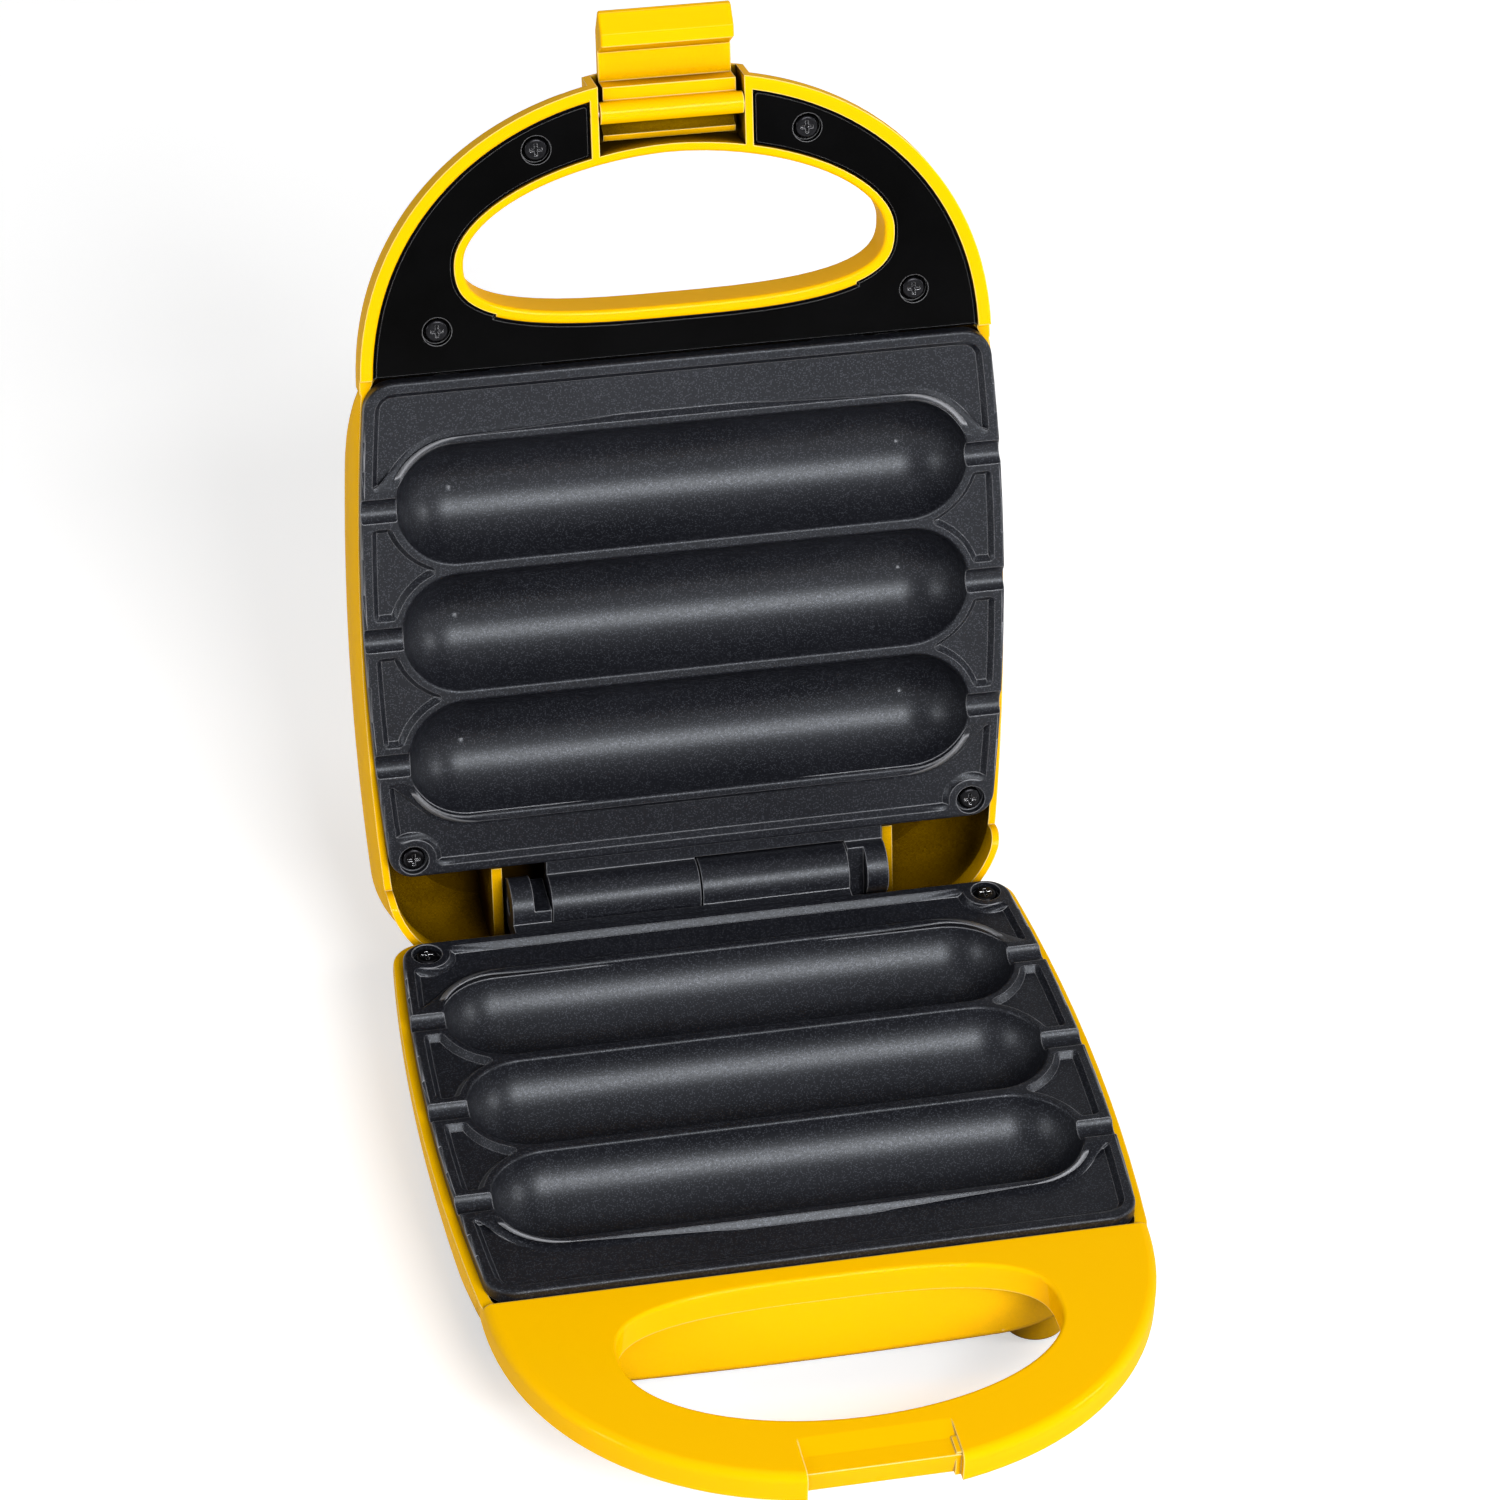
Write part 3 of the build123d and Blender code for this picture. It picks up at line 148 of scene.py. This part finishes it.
def buildGrain():
    tree, given, out = newGroup(
        "fineGrain",
        {"Scale": 900.0, "Fineness": 0.5},
        {"Height": "NodeSocketFloat", "Value": "NodeSocketFloat"},
    )
    place = objectPlace(tree)
    coarse = noiseNode(tree, place, given.outputs["Scale"],
                       grainLook["coarseDetail"], grainLook["coarseRough"])
    finerScale = mathNode(tree, "MULTIPLY", given.outputs["Scale"], grainLook["finerRatio"])
    finer = noiseNode(tree, place, finerScale,
                      grainLook["finerDetail"], grainLook["finerRough"])
    height = mathNode(tree, "MULTIPLY_ADD", finer, given.outputs["Fineness"], coarse)
    tree.links.new(height, out.inputs["Height"])
    value = rampNode(tree, coarse, grainLook["valueFrom"], grainLook["valueTo"])
    tree.links.new(value, out.inputs["Value"])
    return tree


# Slow, cloudy variation over a whole piece
patchLook = {
    "detail": 5.0,
    "rough": 0.55,
    "distortion": 0.4,
    "valueFrom": 0.3,
    "valueTo": 0.7,
}


def buildPatches():
    tree, given, out = newGroup(
        "slowPatches",
        {"Scale": 18.0},
        {"Value": "NodeSocketFloat", "Height": "NodeSocketFloat"},
    )
    cloud = noiseNode(tree, objectPlace(tree), given.outputs["Scale"],
                      patchLook["detail"], patchLook["rough"], patchLook["distortion"])
    value = rampNode(tree, cloud, patchLook["valueFrom"], patchLook["valueTo"])
    tree.links.new(value, out.inputs["Value"])
    tree.links.new(cloud, out.inputs["Height"])
    return tree


# Bright flecks, as in a sprayed non-stick coating: a fleck's size is a share of its cell
fleckLook = {"size": 0.42}


def buildFlecks():
    tree, given, out = newGroup(
        "coatingFlecks",
        {"Scale": 1500.0, "Level": 0.72},
        {"Mask": "NodeSocketFloat"},
    )
    cells = addNode(tree, "ShaderNodeTexVoronoi", feature="F1")
    tree.links.new(objectPlace(tree), cells.inputs["Vector"])
    tree.links.new(given.outputs["Scale"], cells.inputs["Scale"])
    parts = addNode(tree, "ShaderNodeSeparateColor")  # a cell's red decides if it has a fleck
    tree.links.new(cells.outputs["Color"], parts.inputs[0])
    chosen = mathNode(tree, "GREATER_THAN", parts.outputs[0], given.outputs["Level"])
    near = mathNode(tree, "LESS_THAN", cells.outputs["Distance"], fleckLook["size"])
    tree.links.new(mathNode(tree, "MULTIPLY", chosen, near), out.inputs["Mask"])
    return tree


# Painted highlights on sharp edges: how far the rounded normal agrees with the face, on a flat
# and on an edge
edgeLook = {
    "samples": 6,
    "flat": 0.96,
    "sharp": 0.74,
}


def buildEdges():
    # A painted-highlight mask on sharp edges and a normal that rounds them off
    tree, given, out = newGroup(
        "edgeRoundAndHighlight",
        {"Width": 0.0005},
        {"Mask": "NodeSocketFloat", "Normal": "NodeSocketVector"},
    )
    bevel = addNode(tree, "ShaderNodeBevel", samples=edgeLook["samples"])
    tree.links.new(given.outputs["Width"], bevel.inputs["Radius"])
    geometry = addNode(tree, "ShaderNodeNewGeometry")
    agreement = addNode(tree, "ShaderNodeVectorMath", operation="DOT_PRODUCT")
    tree.links.new(bevel.outputs[0], agreement.inputs[0])
    tree.links.new(geometry.outputs["True Normal"], agreement.inputs[1])
    mask = rampNode(tree, agreement.outputs["Value"], edgeLook["flat"], edgeLook["sharp"])
    tree.links.new(mask, out.inputs["Mask"])
    tree.links.new(bevel.outputs[0], out.inputs["Normal"])
    return tree


# Painted shade in hollows and corners: the open share around a point where the mask is 0, and
# where it is 1
hollowLook = {
    "samples": 8,
    "open": 0.60,
    "deep": 0.24,
}


def buildPaintedShade():
    tree, given, out = newGroup(
        "hollowShade",
        {"Reach": 0.02},
        {"Mask": "NodeSocketFloat"},
    )
    shade = addNode(tree, "ShaderNodeAmbientOcclusion", samples=hollowLook["samples"])
    tree.links.new(given.outputs["Reach"], shade.inputs["Distance"])
    mask = rampNode(tree, shade.outputs["AO"], hollowLook["open"], hollowLook["deep"])
    tree.links.new(mask, out.inputs["Mask"])
    return tree


# Fine hairline scratches in two directions, broken up by patches
scuffLook = {
    "lines": [
        {"turn": 0.35, "stretch": (1.0, 14.0, 14.0)},
        {"turn": -1.1, "stretch": (12.0, 1.0, 12.0)},
    ],
    "tilt": 0.6,
    "lineDetail": 1.0,
    "lineRough": 0.4,
    "patchScale": 25.0,
    "patchDetail": 2.0,
    "patchRough": 0.5,
    "patchFrom": 0.5,
    "patchTo": 0.75,
}


def buildScuffs():
    tree, given, out = newGroup(
        "hairScuffs",
        {"Scale": 60.0, "Level": 0.66},
        {"Mask": "NodeSocketFloat"},
    )
    place = objectPlace(tree)
    masks = []
    for row in scuffLook["lines"]:
        turn = row["turn"]
        turned = addNode(tree, "ShaderNodeMapping")
        setInputs(turned, {"Rotation": (turn, turn * scuffLook["tilt"], turn),
                           "Scale": row["stretch"]})
        tree.links.new(place, turned.inputs["Vector"])
        lines = noiseNode(tree, turned.outputs["Vector"], given.outputs["Scale"],
                          scuffLook["lineDetail"], scuffLook["lineRough"])
        masks.append(mathNode(tree, "GREATER_THAN", lines, given.outputs["Level"]))
    both = mathNode(tree, "MAXIMUM", *masks)
    cloud = noiseNode(tree, place, scuffLook["patchScale"],
                      scuffLook["patchDetail"], scuffLook["patchRough"])
    patches = rampNode(tree, cloud, scuffLook["patchFrom"], scuffLook["patchTo"])
    tree.links.new(mathNode(tree, "MULTIPLY", both, patches), out.inputs["Mask"])
    return tree


print("building shared effects")
groups = {
    "grain": buildGrain(),
    "patches": buildPatches(),
    "flecks": buildFlecks(),
    "edges": buildEdges(),
    "hollows": buildPaintedShade(),
    "scuffs": buildScuffs(),
}


def useGroup(tree, key, **values):
    node = addNode(tree, "ShaderNodeGroup")
    node.node_tree = groups[key]
    setInputs(node, values)
    return node


def newMaterial(name):
    material = bpy.data.materials.new(name)
    material.use_nodes = True
    tree = material.node_tree
    return material, tree, tree.nodes["Principled BSDF"]


def layOver(tree, body, mask, amount, tint):
    # The tint covers the body colour by the mask times the amount
    return mixColour(tree, mathNode(tree, "MULTIPLY", mask, amount), body, rgba(tint))


# The moulded yellow shell
shellLook = {
    "colour": (0.86, 0.455, 0.0),
    "deeper": (0.82, 0.42, 0.0),
    "evenness": 0.75,
    # the colour of the painted highlight on sharp edges
    "edgeTint": (1.0, 0.86, 0.38),
    "edgeWidth": 0.0006,
    # the colour of the painted shade in hollows and corners
    "hollow": (0.05, 0.025, 0.0),
    "hollowReach": 0.045,
    "roughLow": 0.22,
    "roughHigh": 0.28,
    "grainScale": 900.0,
    "grainFineness": 0.4,
    "grainBump": 0.15,
    "grainDepth": 0.000004,
    "patchScale": 14.0,
    "patchBump": 0.1,
    "patchDepth": 0.0003,
    "scuffScale": 45.0,
    "scuffLevel": 0.68,
    "scuffAmount": 0.05,
    "specular": 0.0,
    "coat": 0.09,
    "coatRough": 0.08,
}


def makeShellMaterial(name, look):
    material, tree, shader = newMaterial(name)
    grain = useGroup(tree, "grain", Scale=look["grainScale"], Fineness=look["grainFineness"])
    patches = useGroup(tree, "patches", Scale=look["patchScale"])
    edges = useGroup(tree, "edges", Width=look["edgeWidth"])
    scuffs = useGroup(tree, "scuffs", Scale=look["scuffScale"], Level=look["scuffLevel"])
    hollows = useGroup(tree, "hollows", Reach=look["hollowReach"])
    body = mixColour(tree, patches.outputs["Value"], rgba(look["colour"]), rgba(look["deeper"]))
    body = mixColour(tree, look["evenness"], body, rgba(look["colour"]))
    # painted highlight: a lighter colour along sharp edges
    body = mixColour(tree, edges.outputs["Mask"], body, rgba(look["edgeTint"]))
    # painted shade: the colour turns dark brown in hollows and corners
    body = mixColour(tree, hollows.outputs["Mask"], body, rgba(look["hollow"]))
    tree.links.new(body, shader.inputs["Base Color"])
    rough = spread(tree, grain.outputs["Value"], look["roughLow"], look["roughHigh"])
    rough = mathNode(tree, "MULTIPLY_ADD", scuffs.outputs["Mask"], look["scuffAmount"], rough)
    tree.links.new(rough, shader.inputs["Roughness"])
    normal = bumpNode(tree, grain.outputs["Height"], look["grainBump"], look["grainDepth"],
                      edges.outputs["Normal"])
    normal = bumpNode(tree, patches.outputs["Height"], look["patchBump"], look["patchDepth"],
                      normal)
    tree.links.new(normal, shader.inputs["Normal"])
    setInputs(shader, {
        "Specular IOR Level": look["specular"],
        "Coat Weight": look["coat"],
        "Coat Roughness": look["coatRough"],
    })
    return material


# The sprayed coating of the cast plates
plateLook = {
    "colour": (0.0045, 0.0048, 0.0070),
    "lighter": (0.0078, 0.0082, 0.0112),
    "fleck": (0.07, 0.075, 0.09),
    "fleckScale": 2400.0,
    "fleckLevel": 0.55,
    "fleckAmount": 0.5,
    "fleckMetal": 0.2,
    "metal": 0.05,
    # the painted highlight on sharp edges and its share
    "edgeTint": (0.36, 0.365, 0.39),
    "edgeAmount": 0.8,
    "edgeWidth": 0.0006,
    "roughLow": 0.31,
    "roughHigh": 0.42,
    "grainScale": 1400.0,
    "grainFineness": 0.6,
    "grainBump": 0.7,
    "grainDepth": 0.00003,
    "patchScale": 30.0,
    "specular": 0.27,
    "specularTint": (0.90, 0.945, 1.0),
}


def makePlateMaterial(name, look):
    material, tree, shader = newMaterial(name)
    grain = useGroup(tree, "grain", Scale=look["grainScale"], Fineness=look["grainFineness"])
    patches = useGroup(tree, "patches", Scale=look["patchScale"])
    flecks = useGroup(tree, "flecks", Scale=look["fleckScale"], Level=look["fleckLevel"])
    edges = useGroup(tree, "edges", Width=look["edgeWidth"])
    body = mixColour(tree, patches.outputs["Value"], rgba(look["colour"]), rgba(look["lighter"]))
    body = layOver(tree, body, flecks.outputs["Mask"], look["fleckAmount"], look["fleck"])
    # painted highlight: a lighter colour along sharp edges
    body = layOver(tree, body, edges.outputs["Mask"], look["edgeAmount"], look["edgeTint"])
    tree.links.new(body, shader.inputs["Base Color"])
    rough = spread(tree, grain.outputs["Value"], look["roughLow"], look["roughHigh"])
    tree.links.new(rough, shader.inputs["Roughness"])
    metal = mathNode(tree, "MULTIPLY_ADD", flecks.outputs["Mask"], look["fleckMetal"],
                     look["metal"])
    tree.links.new(metal, shader.inputs["Metallic"])
    normal = bumpNode(tree, grain.outputs["Height"], look["grainBump"], look["grainDepth"],
                      edges.outputs["Normal"])
    tree.links.new(normal, shader.inputs["Normal"])
    setInputs(shader, {
        "Specular IOR Level": look["specular"],
        "Specular Tint": rgba(look["specularTint"]),
    })
    return material


# What cover, screws, sheet metal, controls and rubber share where their own look says nothing
plainDefaults = {
    "metallic": 0.0,
    # the share of painted highlight on sharp edges
    "edgeAmount": 0.4,
    "edgeWidth": 0.0004,
    "grainScale": 900.0,
    "grainFineness": 0.5,
    "grainBump": 0.3,
    "grainDepth": 0.00003,
    "patchScale": 40.0,
    "scuffScale": 60.0,
    "scuffLevel": 0.64,
    "scuffAmount": 0.12,
    "coat": 0.0,
    "specular": 0.5,
}


def plainLook(**changes):
    return {**plainDefaults, **changes}


def makePlainMaterial(name, look):
    material, tree, shader = newMaterial(name)
    grain = useGroup(tree, "grain", Scale=look["grainScale"], Fineness=look["grainFineness"])
    patches = useGroup(tree, "patches", Scale=look["patchScale"])
    edges = useGroup(tree, "edges", Width=look["edgeWidth"])
    scuffs = useGroup(tree, "scuffs", Scale=look["scuffScale"], Level=look["scuffLevel"])
    body = mixColour(tree, patches.outputs["Value"], rgba(look["colour"]), rgba(look["deeper"]))
    # painted highlight: a lighter colour along sharp edges, as lines on the cover and glints on
    # the screws
    body = layOver(tree, body, edges.outputs["Mask"], look["edgeAmount"], look["edgeTint"])
    tree.links.new(body, shader.inputs["Base Color"])
    rough = spread(tree, grain.outputs["Value"], look["roughLow"], look["roughHigh"])
    rough = mathNode(tree, "MULTIPLY_ADD", scuffs.outputs["Mask"], look["scuffAmount"], rough)
    tree.links.new(rough, shader.inputs["Roughness"])
    normal = bumpNode(tree, grain.outputs["Height"], look["grainBump"], look["grainDepth"],
                      edges.outputs["Normal"])
    tree.links.new(normal, shader.inputs["Normal"])
    setInputs(shader, {
        "Metallic": look["metallic"],
        "Coat Weight": look["coat"],
        "Specular IOR Level": look["specular"],
    })
    return material


coverLook = plainLook(
    colour=(0.0015, 0.0015, 0.0015), deeper=(0.0025, 0.0025, 0.0027),
    edgeTint=(0.28, 0.28, 0.29), edgeAmount=1.0, edgeWidth=0.0005,
    roughLow=0.07, roughHigh=0.12, grainBump=0.08, grainDepth=0.000003,
    scuffAmount=0.03, specular=0.012,
)
screwLook = plainLook(
    colour=(0.014, 0.014, 0.016), deeper=(0.006, 0.006, 0.007),
    edgeTint=(0.8, 0.8, 0.83), edgeAmount=0.75, edgeWidth=0.00028,
    metallic=0.9, roughLow=0.18, roughHigh=0.32, patchScale=500.0,
)
steelLook = plainLook(
    colour=(0.50, 0.50, 0.51), deeper=(0.40, 0.40, 0.42),
    edgeTint=(0.75, 0.75, 0.76), metallic=1.0,
    roughLow=0.25, roughHigh=0.40, scuffScale=90.0,
)
sheathLook = plainLook(
    colour=(0.20, 0.185, 0.17), deeper=(0.13, 0.12, 0.115),
    edgeTint=(0.4, 0.38, 0.36), metallic=0.9,
    roughLow=0.38, roughHigh=0.55, patchScale=70.0,
)
shieldLook = plainLook(
    colour=(0.62, 0.62, 0.63), deeper=(0.52, 0.52, 0.54),
    edgeTint=(0.85, 0.85, 0.85), metallic=1.0,
    roughLow=0.28, roughHigh=0.42, patchScale=22.0, scuffScale=40.0,
)
controlLook = plainLook(
    colour=(0.03, 0.028, 0.026), deeper=(0.02, 0.02, 0.02),
    edgeTint=(0.10, 0.10, 0.10), roughLow=0.42, roughHigh=0.55,
)
sleeveLook = plainLook(
    colour=(0.66, 0.64, 0.54), deeper=(0.55, 0.52, 0.44),
    edgeTint=(0.8, 0.78, 0.7), roughLow=0.7, roughHigh=0.85,
    grainScale=2500.0, grainBump=0.7, grainDepth=0.0001,
)
terminalLook = plainLook(
    colour=(0.60, 0.58, 0.50), deeper=(0.52, 0.50, 0.43),
    edgeTint=(0.75, 0.74, 0.68), roughLow=0.45, roughHigh=0.6,
)
rubberLook = plainLook(
    colour=(0.018, 0.018, 0.019), deeper=(0.028, 0.027, 0.026),
    edgeTint=(0.06, 0.06, 0.06), roughLow=0.72, roughHigh=0.88,
    grainScale=1800.0, grainBump=0.6,
)


# The colours of the two lenses and the lamps behind them, and the finish they share
lensColours = {
    "red_lens": {"colour": (0.62, 0.012, 0.008), "deeper": (0.35, 0.004, 0.004)},
    "green_lens": {"colour": (0.02, 0.42, 0.05), "deeper": (0.006, 0.20, 0.02)},
    "lamp_glass": {"colour": (0.95, 0.75, 0.6), "deeper": (0.8, 0.45, 0.3)},
}
lensFinish = {
    "roughLow": 0.06,
    "roughHigh": 0.14,
    "grainScale": 600.0,
    "grainFineness": 0.3,
    "grainBump": 0.1,
    "grainDepth": 0.00001,
    "patchScale": 200.0,
    "edgeWidth": 0.0003,
    "transmission": 0.45,
    "refraction": 1.49,
}


def makeLensMaterial(name, look):
    material, tree, shader = newMaterial(name)
    patches = useGroup(tree, "patches", Scale=look["patchScale"])
    grain = useGroup(tree, "grain", Scale=look["grainScale"], Fineness=look["grainFineness"])
    edges = useGroup(tree, "edges", Width=look["edgeWidth"])
    body = mixColour(tree, patches.outputs["Value"], rgba(look["colour"]), rgba(look["deeper"]))
    tree.links.new(body, shader.inputs["Base Color"])
    rough = spread(tree, grain.outputs["Value"], look["roughLow"], look["roughHigh"])
    tree.links.new(rough, shader.inputs["Roughness"])
    normal = bumpNode(tree, grain.outputs["Height"], look["grainBump"], look["grainDepth"],
                      edges.outputs["Normal"])
    tree.links.new(normal, shader.inputs["Normal"])
    setInputs(shader, {
        "Transmission Weight": look["transmission"],
        "IOR": look["refraction"],
    })
    return material


print("building materials")
materials = {
    "yellow_shell": makeShellMaterial("yellowShell", shellLook),
    "coated_plate": makePlateMaterial("coatedPlate", plateLook),
    "black_cover": makePlainMaterial("blackCover", coverLook),
    "dark_screw": makePlainMaterial("darkScrew", screwLook),
    "steel": makePlainMaterial("platedSteel", steelLook),
    "heater_sheath": makePlainMaterial("heaterSheath", sheathLook),
    "shield_sheet": makePlainMaterial("shieldSheet", shieldLook),
    "control_body": makePlainMaterial("controlBody", controlLook),
    "fuse_sleeve": makePlainMaterial("fuseSleeve", sleeveLook),
    "terminal_body": makePlainMaterial("terminalBody", terminalLook),
    "dark_grommet": makePlainMaterial("grommetRubber", rubberLook),
    "foot_rubber": makePlainMaterial("padRubber", rubberLook),
}
for slotName, colours in lensColours.items():
    materials[slotName] = makeLensMaterial("lens_" + slotName, {**lensFinish, **colours})

slotOf = {row["node"]: row["material_slot"] for row in frame["record"]["subparts"]}
for name, piece in nodes.items():
    piece.data.materials.clear()
    piece.data.materials.append(materials[slotOf[name]])


# The floor and the pale room around it
stageLook = {
    "background": (1.0, 1.0, 1.0),
    "floorColour": (0.8, 0.8, 0.8),
    "floorGlow": 0.5,
    "floorRough": 0.9,
    "floorSpecular": 0.0,
    "floorRadius": 3.2,
    "floorSteps": 96,
    "worldLevel": 0.36,
    "overhead": (0.22, 0.22, 0.23),
    "horizonTop": 0.30,
    "overheadStart": 0.72,
}


def seenDirectly(tree):
    # Camera, glossy and transmission rays all see the pale background
    light = addNode(tree, "ShaderNodeLightPath")
    seen = mathNode(tree, "MAXIMUM", light.outputs["Is Camera Ray"],
                    light.outputs["Is Glossy Ray"])
    return mathNode(tree, "MAXIMUM", seen, light.outputs["Is Transmission Ray"])


def makeFloor():
    # A flat disc of slim triangles round its middle
    radius, count = stageLook["floorRadius"], stageLook["floorSteps"]
    points = [(0.0, 0.0, 0.0)]
    for step in range(count):
        turn = 2 * math.pi * step / count
        points.append((radius * math.cos(turn), radius * math.sin(turn), 0.0))
    faces = [(0, 1 + step, 1 + (step + 1) % count) for step in range(count)]
    mesh = bpy.data.meshes.new("floorMesh")
    mesh.from_pydata(points, [], faces)
    floor = bpy.data.objects.new("floor", mesh)
    bpy.context.scene.collection.objects.link(floor)
    material, tree, shader = newMaterial("floorPaint")
    setInputs(shader, {
        "Base Color": rgba(stageLook["floorColour"]),
        "Roughness": stageLook["floorRough"],
        "Specular IOR Level": stageLook["floorSpecular"],
        "Emission Color": rgba(stageLook["background"]),
    })
    glow = mathNode(tree, "MULTIPLY", seenDirectly(tree), stageLook["floorGlow"])
    tree.links.new(glow, shader.inputs["Emission Strength"])
    mesh.materials.append(material)
    floor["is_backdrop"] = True


def makeWorld():
    # Pale round the horizon and darker overhead, and dimmer where it only lights the object
    world = bpy.data.worlds.new("studio")
    bpy.context.scene.world = world
    world.use_nodes = True
    tree = world.node_tree
    back = tree.nodes["Background"]
    place = addNode(tree, "ShaderNodeTexCoord")
    parts = addNode(tree, "ShaderNodeSeparateXYZ")
    tree.links.new(place.outputs["Generated"], parts.inputs[0])
    height = rampNode(tree, parts.outputs["Z"], stageLook["horizonTop"],
                      stageLook["overheadStart"])
    room = mixColour(tree, height, rgba(stageLook["background"]), rgba(stageLook["overhead"]))
    tree.links.new(room, back.inputs["Color"])
    level = mathNode(tree, "MAXIMUM", seenDirectly(tree), stageLook["worldLevel"])
    tree.links.new(level, back.inputs["Strength"])


lightTable = [
    {"name": "ceilingBox", "place": (-0.1, -0.2, 1.9), "aim": (0.0, 0.0, 0.1),
     "size": (2.4, 1.6), "watts": 7.0},
    {"name": "frontBox", "place": (0.42, -1.7, 1.3), "aim": (0.0, 0.0, 0.15),
     "size": (1.0, 0.7), "watts": 50.0},
    {"name": "leftBox", "place": (-1.8, -0.75, 0.75), "aim": (0.0, 0.0, 0.12),
     "size": (0.45, 0.4), "watts": 10.0},
    {"name": "rightBox", "place": (1.7, -0.55, 0.7), "aim": (0.0, 0.0, 0.12),
     "size": (0.45, 0.4), "watts": 9.0},
]


def makeLights():
    for row in lightTable:
        data = bpy.data.lights.new(row["name"], "AREA")
        data.shape = "RECTANGLE"
        data.size, data.size_y = row["size"]
        data.energy = row["watts"]
        lamp = bpy.data.objects.new(row["name"], data)
        place = Vector(row["place"])
        aim = Vector(row["aim"]) - place
        lamp.rotation_mode = "QUATERNION"
        lamp.rotation_quaternion = aim.to_track_quat("-Z", "Y")
        lamp.location = place
        bpy.context.scene.collection.objects.link(lamp)


# The camera stands where the photograph was taken from
viewpoint = {
    "place": (-0.25516, -1.06369, 0.96386),
    "right": (0.9774471, -0.2095162, 0.0264583),
    "up": (0.1044583, 0.5885628, 0.8016747),
    "back": (-0.1835362, -0.7808308, 0.5971748),
    "lens": 125.685,
    "sensor": 36.0,
    "clipStart": 0.05,
    "clipEnd": 20.0,
}


def makeCamera():
    data = bpy.data.cameras.new("camera")
    data.sensor_width = viewpoint["sensor"]
    data.sensor_height = viewpoint["sensor"]
    data.lens = viewpoint["lens"]
    data.clip_start = viewpoint["clipStart"]
    data.clip_end = viewpoint["clipEnd"]
    camera = bpy.data.objects.new("camera", data)
    columns = Matrix((viewpoint["right"], viewpoint["up"], viewpoint["back"])).transposed()
    camera.matrix_world = Matrix.Translation(viewpoint["place"]) @ columns.to_4x4()
    bpy.context.scene.collection.objects.link(camera)
    bpy.context.scene.camera = camera


print("building stage, lights and camera")
makeFloor()
makeWorld()
makeLights()
makeCamera()
bpy.context.scene.view_settings.view_transform = "Standard"

sizeNotes["after"] = plainBounds(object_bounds())
print("finishing")
